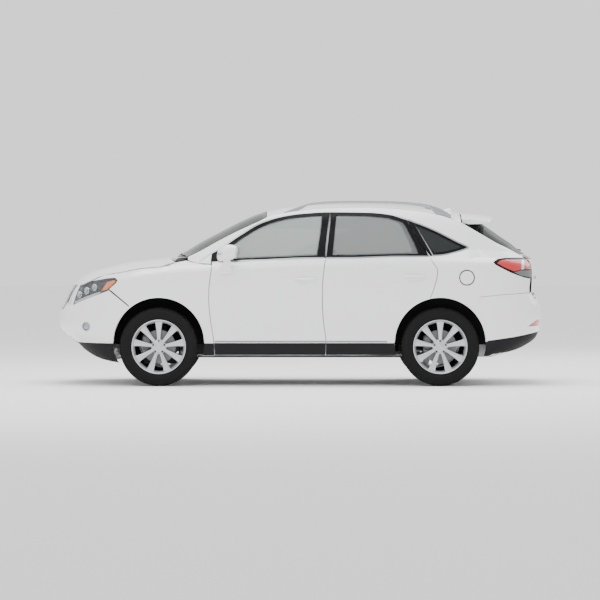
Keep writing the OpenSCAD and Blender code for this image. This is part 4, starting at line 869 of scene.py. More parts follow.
def build_side_glass():
    """Side panes, the quarter panes and the bright strip round them all."""
    pair("front_door_pane", pane(FRONT_WINDOW, 22, 14, 4), clear_glass(), "front_{side}_door", "clear_glass",
         ["front_door_glass_{side}"])
    pair("rear_door_pane", pane(REAR_WINDOW, 22, 14, 4), rear_side_glass(), "rear_{side}_door", "dark_glass",
         ["rear_door_glass_{side}"])
    ring = quarter_ring()
    pair("quarter_pane", pane(ring[::-1], 2, 12, 4), quarter_tint(), "body", "dark_glass", ["quarter_glass"])
    # mirror sail in the front lower corner, middle pillar cover, rear window divider
    sail = [(-842, 1166), (-842, 1252), (-800, 1280), (-742, 1190), (-735, 1176)]
    pair("mirror_sail", side_sheet(sail, 2, 6, 20), gloss_black(), "front_{side}_door", "black_trim")
    cover_a = [(158, 1214), (176, 1330), (192, 1440), (206, 1550), (214, 1654), (285, 1656), (270, 1550),
               (256, 1440), (244, 1330), (238, 1217)]
    pair("pillar_cover_front", side_sheet(cover_a, 1, 6, 30), gloss_black(), "front_{side}_door",
         "black_trim")
    cover_b = [(252, 1218), (263, 1330), (277, 1440), (289, 1550), (299, 1656), (352, 1656), (340, 1550),
               (330, 1440), (318, 1330), (308, 1218)]
    pair("pillar_cover_rear", side_sheet(cover_b, 1, 6, 30), gloss_black(), "rear_{side}_door", "black_trim")
    divider = [(1222, 1232), (1150, 1358), (1080, 1470), (1008, 1584), (955, 1604), (1018, 1500),
               (1085, 1370), (1140, 1232)]
    pair("rear_window_divider", side_sheet(divider, 2, 6, 30), gloss_black(), "rear_{side}_door",
         "black_trim")
    width = sizes().bright_width / MM
    top = [(x, curve(WINDOW_TOP, x) + (4 if x > -846 else 0)) for x in range(-960, 1060, 24)]
    tip = [(1082, 1566), (1150, 1541), (1230, 1509), (1320, 1468), (1420, 1416), (1510, 1370), (1590, 1334),
           (1608, 1318), (1592, 1308), (1510, 1284), (1450, 1268), (1400, 1256), (1350, 1248), (1300, 1245),
           (1256, 1243)]
    over = ribbon(dense(top, 30) + dense(tip, 26), width, proud() - 2, 5)
    pair("bright_strip_body", over, bright(), "body", "paint")
    for name, x0, x1 in (("front", -838, 232), ("rear", 252, 1226)):
        sill = ribbon([(lerp(x0, x1, i / 40), curve(BELT_LIP, lerp(x0, x1, i / 40)) + 9) for i in range(41)],
                      width, proud() - 3, 6)
        pair(f"bright_sill_{name}", sill, bright(), name + "_{side}_door", "paint")


def build_nose():
    """Front bumper skin, valance, grille, lower intake and fog lamps."""
    def place(u, v):
        return on_nose(lerp(-89, 89, u), lerp(CLADDING_TOP - 2, 948, v), proud())
    skin = shell(grid(120, 40, place), 0.006, Vector((-1, 0, 0)))
    seam = [(-1400, 200), (-1400, 1100), (-1829, 1100), (-1829, 918), (-1811, 904), (-1612, 744),
            (-1612, 200)]
    for low, high in ((LAMP_INNER_Y, FAR_Y), (-FAR_Y, -LAMP_INNER_Y)):
        for outline in (HEADLIGHT, seam):
            skin = cut(skin, prism(outline, low=low, high=high))
    skin = cut(skin, arch(FRONT_AXLE_X))
    opening = [(-566, 960), (-556, 920), (-400, 728), (400, 728), (556, 920), (566, 960)]
    cheek = cut(skin.copy(), prism(opening, "X", -2.5, -2.0), "INTERSECT")
    cheek = cut(cheek, prism([(-430, 960), (-446, 900), (-402, 727), (402, 727), (446, 900), (430, 960)],
                             "X", -2.5, -2.0))
    piece("grille_cheeks", cheek, black_trim(), "body", "black_trim")
    skin = cut(skin, prism(opening, "X", -2.5, -2.0))
    intake = [(-430, 470), (-400, 400), (400, 400), (430, 470)]
    skin = cut(skin, prism(intake, "X", -2.5, -2.0))
    fog = on_side(-2040, 568)
    for side in (1, -1):
        at = Vector((fog.x, side * fog.y, fog.z))
        skin = cut(skin, drum(at, 0.044, "Y", 0.3, 48))
    piece("front_bumper_skin", skin, paint(), "body", "paint")
    dress(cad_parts["front_bumper"], paint())
    dress(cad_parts["grille"], under_coat())

    def valance(u, v):
        return on_nose(lerp(-89, 89, u), lerp(222, CLADDING_TOP - 5, v), proud() + 1)
    low = cut(shell(grid(90, 10, valance), 0.006, Vector((-1, 0, 0))), arch(FRONT_AXLE_X))
    low = cut(low, prism([(-400, 404), (-380, 345), (380, 345), (400, 404)], "X", -2.5, -2.0))
    piece("front_valance", low, black_trim(), "body", "paint")
    # grille bars, its surround and the lower intake's bars
    bars = []
    for i in range(6):
        z = 752 + 34 * i
        half = 396 + 46 * clamp((z - 728) / 172, 0, 1) - 8

        def bar(u, v, z=z, half=half):
            y = lerp(-half, half, u)
            a = 2 * math.pi * v
            x = nose_x(y, z) + 12
            return Vector((x + 9 * math.cos(a), y, z + 6.5 * math.sin(a))) * MM
        bars.append(tube(grid(50, 10, bar)))
    piece("grille_bars", joined(*bars), dark_satin(), "body", "black_trim")
    rim = [(-430, 944), (-446, 900), (-400, 728), (400, 728), (446, 900), (430, 944)]
    path = dense(rim, 30, True)
    middle = 838

    def surround(u, v):
        i = round(u * len(path)) % len(path)
        y, z = path[i]
        a = 2 * math.pi * v
        k = 1 + 0.014 * math.cos(a)
        tall = middle + (z - middle) * (1 + 0.06 * math.cos(a))
        return Vector((nose_x(y * k, z) - 3 + 9 * math.sin(a), y * k, tall)) * MM
    piece("grille_surround", tube(grid(len(path), 10, surround)), bright(), "body", "black_trim")
    slats = []
    for z in (372, 396, 420, 444):
        def slat(u, v, z=z):
            y = lerp(-420, 420, u)
            a = 2 * math.pi * v
            return Vector((nose_x(y, z) + 26 + 12 * math.cos(a), y, z + 4 * math.sin(a))) * MM
        slats.append(tube(grid(40, 8, slat)))
    piece("intake_slats", joined(*slats), black_trim(), "body", "black_trim")

    def backing(u, v):
        y, z = lerp(-430, 430, u), lerp(345, 470, v)
        return Vector((nose_x(y, z) + 52, y, z)) * MM
    piece("intake_backing", shell(grid(20, 6, backing), 0.003, Vector((-1, 0, 0))), lamp_black(), "body",
          "black_trim")
    # fog lamps
    for side, s in (("right", 1), ("left", -1)):
        at = Vector((fog.x + 0.012, s * (fog.y - 0.022), fog.z))
        turn = Matrix.Rotation(math.radians(-s * 52), 4, "Z")
        pot = drum(Vector((0, 0, 0)), 0.043, "X", 0.05, 48)
        lens = ball((-22, 0, 0), (14, 33, 33))
        ring = torus(0.040, 0.0055, "X", 48)
        bmesh.ops.translate(ring, verts=ring.verts[:], vec=(-0.026, 0, 0))
        for part, nm, mat in ((pot, "fog_pot", lamp_black()), (lens, "fog_lens", lens_glass()),
                              (ring, "fog_ring", bright())):
            bmesh.ops.transform(part, matrix=Matrix.Translation(at) @ turn, verts=part.verts[:])
            piece(f"{nm}_{side}", part, mat, "body", "lamp_clear")


def nose_x(y, z):
    return NOSE_START - (NOSE_START - curve(NOSE, z)) * corner(
        abs(y) / section_y(NOSE_START, z), NOSE_POWER)


def tail_x(y, z):
    return TAIL_START + (curve(TAIL, z) - TAIL_START) * corner(
        abs(y) / section_y(TAIL_START + 300, z), TAIL_POWER)


def tube(bm):
    """Closes a grid whose second direction runs round a section."""
    bmesh.ops.remove_doubles(bm, verts=bm.verts[:], dist=1e-6)
    bmesh.ops.holes_fill(bm, edges=[e for e in bm.edges if e.is_boundary], sides=0)
    bmesh.ops.recalc_face_normals(bm, faces=bm.faces[:])
    return bm


def torus(major, minor, axis, around):
    """Ring about an axis through the origin, in metres."""
    def place(u, v):
        a, b = 2 * math.pi * u, 2 * math.pi * v
        r = major + minor * math.cos(b)
        p = Vector((r * math.cos(a), r * math.sin(a), minor * math.sin(b)))
        return {"Z": p, "X": Vector((p.z, p.x, p.y)), "Y": Vector((p.x, p.z, p.y))}[axis]
    return tube(grid(around, 16, place))


def build_headlights():
    """Clear covers, dark housings, painted edge, three projectors, amber marker and lower strip."""
    def sheet(depth, thickness, z0=765, z1=1045):
        def place(u, v):
            return on_nose(lerp(20, 89, u), lerp(z0, z1, v), depth)
        bm = shell(grid(60, 24, place), thickness * MM, Vector((-1, 0.6, 0)))
        return cut(bm, prism(LAMP_FACE, low=LAMP_INNER_Y), "INTERSECT")
    pair("headlight_cover", sheet(proud() + 0.5, 3), lens_clear(), "body", "lamp_clear", ["headlights"])
    pair("headlight_housing", sheet(46, 3), lamp_black(), "body", "lamp_clear")
    edge = dense([(-2196, 768), (-2160, 880), (-2122, 968), (-2060, 990)], 20)
    pair("headlight_edge", ribbon(edge, 24, proud(), 6), paint(), "body", "lamp_clear")
    spots = ((-2112, 866, 30), (-2040, 905, 32), (-1962, 938, 30))
    lenses, rings, bowls = [], [], []
    for x, z, r in spots:
        p = on_side(x, z, 34)
        turn = Matrix.Translation(p) @ Matrix.Rotation(math.radians(-38), 4, "Z")
        lens = ball((-6, 0, 0), (18, r * 0.72, r * 0.72))
        ring = torus(r * MM, 0.005, "X", 40)
        bowl = drum(Vector((0.012, 0, 0)), r * MM * 1.02, "X", 0.028, 40)
        for part, group in ((lens, lenses), (ring, rings), (bowl, bowls)):
            bmesh.ops.transform(part, matrix=turn, verts=part.verts[:])
            group.append(part)
    pair("headlight_lenses", joined(*lenses), lens_glass(), "body", "lamp_clear")
    pair("headlight_rings", joined(*rings), reflector(), "body", "lamp_clear")
    pair("headlight_bowls", joined(*bowls), reflector(), "body", "lamp_clear")
    amber = [(-1892, 908), (-1842, 918), (-1788, 966), (-1752, 996), (-1768, 1010), (-1838, 990)]
    pair("headlight_marker", side_sheet(amber, 14, 10, 12), lens_amber(), "body", "lamp_clear")
    strip = [(-2200, 776), (-2150, 786), (-2060, 826), (-1960, 862), (-1900, 884), (-1905, 898), (-1965, 880),
             (-2065, 843), (-2140, 808), (-2200, 800)]
    pair("headlight_strip", side_sheet(strip, 20, 8, 16), reflector(), "body", "lamp_clear")


def build_tail_lamps():
    """Dark housings and rims with red covers, a bright bar and a dark lower part."""
    def sheet(depth, thickness, outline):
        def place(u, v):
            return on_tail(lerp(20, 89, u), lerp(1015, 1232, v), depth)
        bm = shell(grid(60, 24, place), thickness * MM, Vector((1, 0.6, 0)))
        bm = cut(bm, prism(outline, low=0.3), "INTERSECT")
        return cut(bm, prism([(-576, 900), (-576, 1300), (576, 1300), (576, 900)], "X", 1.0, 3.0))
    pair("tail_lamp_housing", sheet(30, 20, TAIL_LAMP), lamp_black(), "body", "lamp_red", ["tail_lamps"])
    pair("tail_lamp_rim", sheet(2, 26, TAIL_LAMP), gloss_black(), "body", "lamp_red")
    red = [(1872, 1172), (1905, 1196), (1965, 1204), (2120, 1203), (2112, 1110), (2040, 1092), (1940, 1134)]
    pair("tail_lamp_red", sheet(proud() + 1, 6, red), lens_red(), "body", "lamp_red")
    second = [(2150, 1203), (2300, 1200), (2300, 1110), (2146, 1112)]
    pair("tail_lamp_red_rear", sheet(proud() + 1, 6, second), lens_red(), "body", "lamp_red")
    lower = [(2040, 1084), (2108, 1102), (2300, 1102), (2300, 1038), (2200, 1036), (2110, 1052)]
    pair("tail_lamp_clear", sheet(proud() + 1, 6, lower), dark_satin(), "body", "lamp_red")
    gap = [(2120, 1203), (2148, 1203), (2144, 1112), (2113, 1110)]
    pair("tail_lamp_bright", sheet(proud() + 1.5, 5, gap), reflector(), "body", "lamp_red")


def build_tail():
    """Rear bumper, valance, reflectors, tailgate skins, rear glass and spoiler."""
    def place(u, v):
        return on_tail(lerp(-89, 89, u), lerp(CLADDING_TOP, 892, v), proud())
    skin = shell(grid(120, 36, place), 0.006, Vector((1, 0, 0)))
    line = [(1400, 200), (1685, 200), (1685, 700), (1706, 847), (1899, 867), (2050, 876),
            (2179, 885), (2420, 885), (2420, 1000), (1400, 1000)]
    edge = [(1600, 380), (1789, 434), (2041, 468), (2217, 499), (2420, 530), (2420, 300), (1600, 300)]
    for low, high in ((0.58, 1.3), (-1.3, -0.58)):
        skin = cut(skin, prism(line, low=low, high=high))
    skin = cut(skin, prism(edge, low=-1.3, high=1.3))
    skin = cut(skin, arch(REAR_AXLE_X))
    skin = cut(skin, prism([(-572, 830), (-572, 1000), (572, 1000), (572, 830)], "X", 1.9, 2.6))
    piece("rear_bumper_skin", skin, paint(), "body", "paint")
    dress(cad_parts["rear_bumper"], paint())

    def low_place(u, v):
        return on_tail(lerp(-89, 89, u), lerp(284, 535, v), proud() + 2)
    low = cut(shell(grid(100, 14, low_place), 0.006, Vector((1, 0, 0))), arch(REAR_AXLE_X))
    low = cut(low, prism([(1400, 200), (1685, 200), (1685, 700), (1400, 700)], low=-1.3, high=1.3))
    low = cut(low, prism([(1600, 384), (1789, 438), (2041, 472), (2217, 503), (2420, 534), (2420, 700),
                          (1600, 700)], low=-1.3, high=1.3))
    piece("rear_valance", low, black_trim(), "body", "paint")

    def red(u, v):
        return on_tail(lerp(20, 70, u), lerp(555, 632, v), proud() - 2)
    lens = cut(shell(grid(30, 8, red), 0.006, Vector((1, 0.5, 0))),
               prism([(2180, 566), (2275, 628), (2330, 622), (2330, 566)], low=0.4), "INTERSECT")
    pair("rear_reflector", lens, lens_red(), "body", "lamp_red")

    def gate(u, v):
        p = gate_pt(2 * u - 1, lerp(840, 1250, v), 3)
        return p
    lower = shell(grid(80, 36, gate), 0.006, Vector((1, 0, 0)))
    recess = [(-300, 1000), (-270, 890), (270, 890), (300, 1000)]
    lower = cut(lower, prism(recess, "X", 1.9, 2.6))
    piece("tailgate_skin", lower, paint(), "tailgate", "paint")

    def recess_back(u, v):
        p = gate_pt(lerp(-0.56, 0.56, u), lerp(885, 1004, v), 1)
        return p
    piece("plate_recess", shell(grid(20, 6, recess_back), 0.002, Vector((1, 0, 0))), black_trim(), "tailgate",
          "paint")

    def handle(u, v):
        y, a = lerp(-330, 330, u), 2 * math.pi * v
        return Vector((tail_x(y, 1030) + 8 + 10 * math.cos(a), y, 1028 + 15 * math.sin(a))) * MM
    piece("tailgate_garnish", tube(grid(40, 12, handle)), bright(), "tailgate", "paint")

    def glass(u, v):
        return gate_pt(2 * u - 1, lerp(1252, 1545, v), 2)
    piece("rear_window_pane", shell(grid(60, 30, glass), 0.005, Vector((1, 0, 1))), rear_glass(), "tailgate",
          "dark_glass", ["rear_glass"])
    dress(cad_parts["tailgate"], gloss_black())

    def wiper(u, v):
        a = 2 * math.pi * v
        return (gate_pt(lerp(0, 0.42, u), lerp(1290, 1300, u), 22)
                + 0.006 * Vector((math.cos(a), 0, math.sin(a))))
    piece("rear_wiper", tube(grid(24, 8, wiper)), black_trim(), "tailgate", "paint")

    # x, height, and how far the ends droop
    section = [(1553, 1649, 58), (1656, 1643, 58), (1780, 1628, 52), (1861, 1614, 46),
               (1866, 1604, 44), (1852, 1594, 40), (1772, 1545, 0), (1640, 1543, 0), (1560, 1600, 58),
               (1553, 1649, 58)]

    def spoiler(u, v):
        y = 2 * u - 1
        k = abs(y) ** 2.4
        i = min(int(v * (len(section) - 1)), len(section) - 2)
        t = v * (len(section) - 1) - i
        x, z, d = (lerp(section[i][j], section[i + 1][j], t) for j in range(3))
        back = clamp((x - 1640) / 220, 0, 1)
        return Vector((x - 60 * k * back, y * 614, z - d * k)) * MM
    bm = tube(grid(60, 27, spoiler))
    piece("spoiler_skin", bm, paint(), "tailgate", "paint")


# ---------------------------------------------------------------- details of the sides
def build_mirrors():
    """Door mirrors: painted shell and foot, glass and marker lamp."""
    base = on_side(-700, 1120) / MM
    housing = ball((-690, base.y + 92, 1275), (92, 78, 74), 2.8, 7)
    for v in housing.verts:
        lift = (v.co.z / MM - 1275) / 74
        v.co.x += (0.012 * lift + 0.018 * (v.co.y / MM - base.y - 92) / 78)
        v.co.z -= 0.020 * clamp((-690 - v.co.x / MM) / 92, 0, 1)
    foot = grid(24, 24, lambda u, v: Vector((
        -700 + lerp(46, 30, u) * math.cos(2 * math.pi * v) + 8 * u,
        lerp(base.y + 22, base.y + 62, u ** 1.5) + 12 * math.sin(2 * math.pi * v) * (1 - 0.2 * u),
        lerp(1086, 1228, u) + 10 * math.sin(2 * math.pi * v))) * MM)
    foot = tube(foot)
    pad = ball((-702, base.y + 16, 1110), (62, 14, 44), 3.2, 6)
    pair("mirror_shell", joined(housing, foot, pad), paint(), "front_{side}_door", "paint",
         ["mirror_{side}"])
    glass = ball((-606, base.y + 94, 1276), (7, 66, 60), 3.5, 5)
    pair("mirror_glass", glass, reflector(), "front_{side}_door", "paint")
    lamp = ball((-752, base.y + 118, 1262), (34, 46, 9), 2.6, 4)
    pair("mirror_marker", lamp, satin(), "front_{side}_door", "paint")


def build_handles():
    """Pull handles with their cups, and a key cover on each front door."""
    for door, x0, x1, z in (("front", -62, 172, 1019), ("rear", 984, 1212, 1046)):
        def bar(u, v, x0=x0, x1=x1, z=z):
            x, a = lerp(x0, x1, u), 2 * math.pi * v
            swell = (1 - abs(2 * u - 1) ** 4) ** 0.5
            out = 24 * (1 - abs(2 * u - 1) ** 3.2)
            p = on_side(x, z, proud() - out)
            full = max(swell, 0.02)
            return p + Vector((0, 9 * math.cos(a) * full, 13 * math.sin(a) * full)) * MM
        pair(f"{door}_handle", tube(grid(40, 14, bar)), paint(), door + "_{side}_door", "paint")
        middle = lerp(x0, x1, 0.42)

        def cup(u, v, middle=middle, z=z):
            a, r = 2 * math.pi * u, lerp(1, 0.9, v)
            rise = 4 * math.sin(math.pi * v)
            return on_side(middle + 74 * r * math.cos(a), z - 4 + 44 * r * math.sin(a), proud() - rise)
        ring = grid(64, 4, cup)
        bmesh.ops.remove_doubles(ring, verts=ring.verts[:], dist=1e-6)
        cup_skin = shell(ring, 0.002, Vector((0, 1, 0)))
        pair(f"{door}_handle_cup", cup_skin, paint(), door + "_{side}_door", "paint")
    keys = joined(drum(on_side(150, 1021, proud() - 12), 0.006, "Y", 0.006, 24),
                  drum(on_side(128, 1021, proud() - 16), 0.0035, "Y", 0.006, 24))
    pair("front_key_cover", keys, black_trim(), "front_{side}_door", "paint")


def build_rails():
    """Raised roof rails in satin metal with faired feet."""
    def centre(x):
        edge = curve(ROOF_EDGE, x)
        line = [(-165, 1652), (-100, 1682), (0, 1722), (100, 1750), (300, 1769), (600, 1773), (900, 1768),
                (1150, 1748), (1300, 1712), (1400, 1662), (1448, 1628)]
        return side_y(x, edge) - 27, max(curve(line, x), edge + 6), edge

    def place(u, v):
        x = lerp(-162, 1446, u)
        y, top, edge = centre(x)
        a = 2 * math.pi * v
        solid = clamp(1 - (x + 30) / 110, 0, 1) + clamp((x - 1235) / 60, 0, 1)
        deep = lerp(11, (top - edge) / 2, clamp(solid, 0, 1))
        mid = top - deep
        s, c = math.sin(a), math.cos(a)
        return Vector((x, y + 15 * math.copysign(abs(c) ** 0.7, c),
                       mid + deep * math.copysign(abs(s) ** 0.7, s))) * MM
    pair("roof_rail_cover", tube(grid(120, 18, place)), satin(), "body", "rail_silver", ["roof_rails"])


def build_arches():
    """Rolled lips round the wheel arches; the rear one is shared by the door and the body."""
    for name, x in (("front", FRONT_AXLE_X), ("rear", REAR_AXLE_X)):
        def place(u, v, x=x):
            a = math.radians(lerp(2, 178, u))
            r = ARCH_R + lerp(0, 16, v)
            px, pz = x + r * math.cos(a), ARCH_Z + r * math.sin(a)
            return on_side(px, pz, proud() - 4 + 7 * v)
        lip = shell(grid(90, 3, place), 0.008, Vector((0, 1, 0)))
        if name == "front":
            pair("front_arch_lip", lip, paint(), "body", "paint")
        else:
            front_half = [(900, 380), (900, 1000), (1276, 1000), (1240, 841), (1237, 380)]
            doors = cut(lip.copy(), prism(front_half, low=0.4), "INTERSECT")
            behind = [(800, 300), (800, 1100), (1284, 1100), (1247, 841), (1246, 300)]
            rest = cut(lip, prism(behind, low=0.4))
            pair("rear_arch_lip", rest, paint(), "body", "paint")
            pair("rear_door_arch_lip", doors, paint(), "rear_{side}_door", "paint")


# ---------------------------------------------------------------- wheels
def wheel_mesh():
    """Nine-spoke wheel about the Y axis at the origin, its face towards +Y, in metres."""
    rim = [(-100, 248), (-100, 256), (-92, 260), (-84, 250), (-60, 240), (40, 236), (70, 240), (84, 250),
           (92, 259), (99, 258), (101, 252), (96, 246), (84, 240), (72, 234), (40, 229), (-60, 232),
           (-84, 240)]

    def ring(u, v):
        a, n = 2 * math.pi * u, len(rim)
        y, r = rim[round(v * n) % n]
        return Vector((r * math.cos(a), y, r * math.sin(a))) * MM
    parts = [tube(grid(96, len(rim), ring))]
    for i in range(9):
        turn = Matrix.Rotation(2 * math.pi * i / 9, 4, "Y")

        def spoke(u, v):
            r = lerp(52, 246, u)
            width = lerp(15, 37, u ** 1.5) + 7 * clamp((u - 0.88) / 0.12, 0, 1)
            crown = WHEEL_FACE + lerp(30, 44, math.sin(u * math.pi / 2))
            a = 2 * math.pi * v
            s, c = math.sin(a), math.cos(a)
            half = width * math.copysign(abs(c) ** 0.6, c)
            up = 13 * math.copysign(abs(s) ** 0.6, s)
            return Vector((half, crown - 10 + up, r)) * MM
        bm = tube(grid(20, 20, spoke))
        bmesh.ops.transform(bm, matrix=turn, verts=bm.verts[:])
        parts.append(bm)
    profile = [(30, 0), (34, 20), (33, 40), (28, 58), (20, 70), (-30, 74)]

    def hub_place(u, v):
        a, n = 2 * math.pi * u, len(profile) - 1
        y, r = profile[round(v * n)]
        return Vector((r * math.cos(a), WHEEL_FACE + y, r * math.sin(a))) * MM
    parts.append(shell(grid(64, len(profile) - 1, hub_place), 0.004, Vector((0, 1, 0))))
    return joined(*parts)


def bolt_mesh():
    """Five nuts and the blank centre cap."""
    parts = []
    for i in range(5):
        a = math.radians(90 + 72 * i)
        at = Vector((BOLT_CIRCLE_R * math.cos(a), WHEEL_FACE + 26, BOLT_CIRCLE_R * math.sin(a))) * MM
        parts.append(drum(at, 0.010, "Y", 0.024, 6))
    cap = ball((0, WHEEL_FACE + 34, 0), (28, 9, 28), 2.4, 5)
    return joined(*parts), cap


def tyre_mesh():
    """Tyre about the Y axis with four grooves and shoulder blocks."""
    deep = sizes().tread_depth / MM
    section = [(-92, 256), (-104, 268), (-113, 290), (-117, 315), (-114, 338), (-106, 356), (-97, 366)]
    tread = []
    for y0, y1 in ((-97, -60), (-50, -22), (-12, 12), (22, 50), (60, 97)):
        crown0, crown1 = TYRE_R - 9 * (abs(y0) / 97) ** 3, TYRE_R - 9 * (abs(y1) / 97) ** 3
        tread += [(y0, crown0 - deep), (y0, crown0), (y1, crown1), (y1, crown1 - deep)]
    tread = tread[1:-1]
    outline = section[:-1] + tread + [(-y, r) for y, r in section[:-1]][::-1]
    outline += [(84, 252), (-84, 252)]
    blocks = sizes().tread_blocks
    around = 4 * blocks

    def place(u, v):
        a, n = 2 * math.pi * u, len(outline)
        y, r = outline[round(v * n) % n]
        slot = round(u * around) % 4 == 0
        if slot and r > 355 and abs(y) > 52:
            r -= deep * 0.9
        return Vector((r * math.cos(a), y, r * math.sin(a))) * MM
    return tube(grid(around, len(outline), place))


def disc_mesh():
    """Brake disc: two plates on a plain hub."""
    return joined(drum(Vector((0, (WHEEL_FACE - 34) * MM, 0)), 0.160, "Y", 0.010, 64),
                  drum(Vector((0, (WHEEL_FACE - 50) * MM, 0)), 0.160, "Y", 0.010, 64),
                  drum(Vector((0, (WHEEL_FACE - 30) * MM, 0)), 0.078, "Y", 0.040, 48))


def build_wheels():
    """Four wheels with their tyres, discs, nuts, caps and callipers."""
    for axle, x in (("front", FRONT_AXLE_X), ("rear", REAR_AXLE_X)):
        for side, s in (("left", -1), ("right", 1)):
            body = f"{axle}_{side}_wheel"
            at = Matrix.Translation(Vector((x, s * WHEEL_Y, TYRE_R)) * MM)
            turn = at if s > 0 else at @ Matrix.Diagonal((1, -1, 1, 1))

            def put(name, bm, material, slot, replaces=(), smooth=40, turn=turn, s=s, body=body):
                bmesh.ops.transform(bm, matrix=turn, verts=bm.verts[:])
                if s < 0:
                    bmesh.ops.reverse_faces(bm, faces=bm.faces[:])
                piece(f"{name}_{body}", bm, material, body, slot, replaces, smooth)
            nuts, cap = bolt_mesh()
            put("rim", wheel_mesh(), alloy(), "wheel_silver", [f"wheel_{axle}_{side}"], 50)
            put("nuts", nuts, under_coat(), "wheel_silver", (), 30)
            put("cap", cap, alloy(), "wheel_silver")
            put("disc", disc_mesh(), dark_satin(), "wheel_silver")
            put("tread", tyre_mesh(), rubber(), "tyre_rubber", [f"tyre_{axle}_{side}"], 30)
            calliper = ball((-118, -6, 40), (46, 40, 72), 3.5, 4)
            bmesh.ops.transform(calliper, matrix=turn, verts=calliper.verts[:])
            if s < 0:
                bmesh.ops.reverse_faces(calliper, faces=calliper.faces[:])
            carrier = f"{side}_knuckle" if axle == "front" else "body"
            slot = "cast" if axle == "front" else "under_metal"
            piece(f"calliper_{axle}_{side}", calliper, cast(), carrier, slot)


# ---------------------------------------------------------------- cabin and underside


def pad(name, low, high, lean_deg, pivot, body_nodes):
    """Padded block between two corners, leaned back about a pivot; a full run puffs it out as cloth."""
    bm = box(low, high, 26, 4)
    foot = Matrix.Translation(Vector(pivot) * MM)
    lean = foot @ Matrix.Rotation(math.radians(lean_deg), 4, "Y") @ foot.inverted()
    bmesh.ops.transform(bm, verts=bm.verts[:], matrix=lean)
    bm = puffed(bm)
    obj = piece(name, bm, leather(), "body", "seat_leather", body_nodes, 60)
    return obj


def puffed(bm, voxel=0.016, frames=14, reach=0.012):
    """Swells a closed mesh with cloth pressure and keeps each point within reach of its start."""
    obj = link("pad", bm)
    remesh = obj.modifiers.new("even", "REMESH")
    remesh.mode = "VOXEL"
    remesh.voxel_size = voxel
    graph = bpy.context.evaluated_depsgraph_get()
    even = bpy.data.meshes.new_from_object(obj.evaluated_get(graph))
    obj.modifiers.clear()
    old, obj.data = obj.data, even
    bpy.data.meshes.remove(old)
    start = [v.co.copy() for v in even.vertices]
    cloth = obj.modifiers.new("cloth", "CLOTH")
    cloth.settings.use_pressure = True
    cloth.settings.uniform_pressure_force = 4
    cloth.settings.effector_weights.gravity = 0
    cloth.settings.quality = 4
    cloth.point_cache.frame_start, cloth.point_cache.frame_end = 1, frames
    scene = bpy.context.scene
    for number in range(1, frames + 1):
        scene.frame_set(number)
    graph = bpy.context.evaluated_depsgraph_get()
    done = bpy.data.meshes.new_from_object(obj.evaluated_get(graph))
    scene.frame_set(1)
    result = bmesh.new()
    result.from_mesh(done)
    result.verts.ensure_lookup_table()
    for v, a in zip(result.verts, start):
        move = v.co - a
        if move.length > reach:
            v.co = a + move.normalized() * reach
    bmesh.ops.smooth_vert(result, verts=result.verts[:], factor=0.5, use_axis_x=True, use_axis_y=True,
                          use_axis_z=True)
    unlink(obj)
    bpy.data.meshes.remove(done)
    return result


def build_cabin():
    """Seats, dashboard, steering wheel and cabin finishes."""
    for side, s in (("right", 1), ("left", -1)):
        y0, y1 = sorted((s * 126, s * 614))
        pad(f"front_cushion_{side}", (-330, y0, 446), (130, y1, 548), -6, (-330, 0, 446), ["front_seats"])
        pad(f"front_backrest_{side}", (188, y0 + 14, 500), (280, y1 - 14, 1040), 18, (188, 0, 500), [])
        y0, y1 = sorted((s * 250, s * 490))
        pad(f"front_headrest_{side}", (405, y0, 1125), (475, y1, 1255), 14, (405, 0, 1125), [])
        posts = joined(*[drum(Vector((0.420, s * y * MM, 1.11)), 0.006, "Z", 0.16, 16) for y in (320, 420)])
        piece(f"headrest_posts_{side}", posts, bright(), "body", "seat_leather")
    pad("bench_cushion", (405, -620, 440), (830, 620, 552), -6, (405, 0, 440), ["rear_bench"])
    pad("bench_backrest", (880, -585, 660), (965, 585, 1180), 20, (880, 0, 660), [])
    for i, y in enumerate((-420, 0, 420)):
        pad(f"bench_headrest_{i + 1}", (1090, y - 110, 1215), (1150, y + 110, 1318), 12, (1090, 0, 1215), [])
    dress(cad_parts["dashboard"], cabin_plastic())
    dress(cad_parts["steering_wheel"], dark_leather())
    binnacle = ball((-850, -370, 1150), (90, 170, 46), 3, 6)
    piece("instrument_hood", binnacle, door_trim(), "body", "cabin_plastic")
    stack = box((-800, -130, 880), (-742, 130, 1100), 12)
    piece("centre_stack", stack, door_trim(), "body", "cabin_plastic")
    console = box((-770, -110, 332), (120, 110, 520), 24)
    piece("centre_console", console, cabin_plastic(), "body", "cabin_plastic")
    # arm rests of the doors
    for door, x0, x1 in (("front", -760, 190), ("rear", 300, 1080)):
        rest = box((x0 + 160, 776, 770), (x1 - 120, 850, 812), 14)
        pair(f"{door}_arm_rest", rest, cabin_plastic(), door + "_{side}_door", "paint")
    mat = box((-1000, -440, 329), (-400, 440, 334), 2)
    piece("floor_mat", mat, carpet(), "body", "cabin_plastic")


def build_underside():
    """Finishes of frame nodes: the underside, axles, knuckles, engine block, liners, cowl and flap."""
    finishes = ((under_coat(), ("floor_pan", "chassis_rails", "front_axle", "rear_axle", "fuel_flap")),
                (cast(), ("engine_block", "knuckle_left", "knuckle_right")),
                (steel(), ("exhaust",)),
                (black_trim(), ("arch_liners", "cowl")))
    for material, names in finishes:
        for name in names:
            dress(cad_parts[name], material)


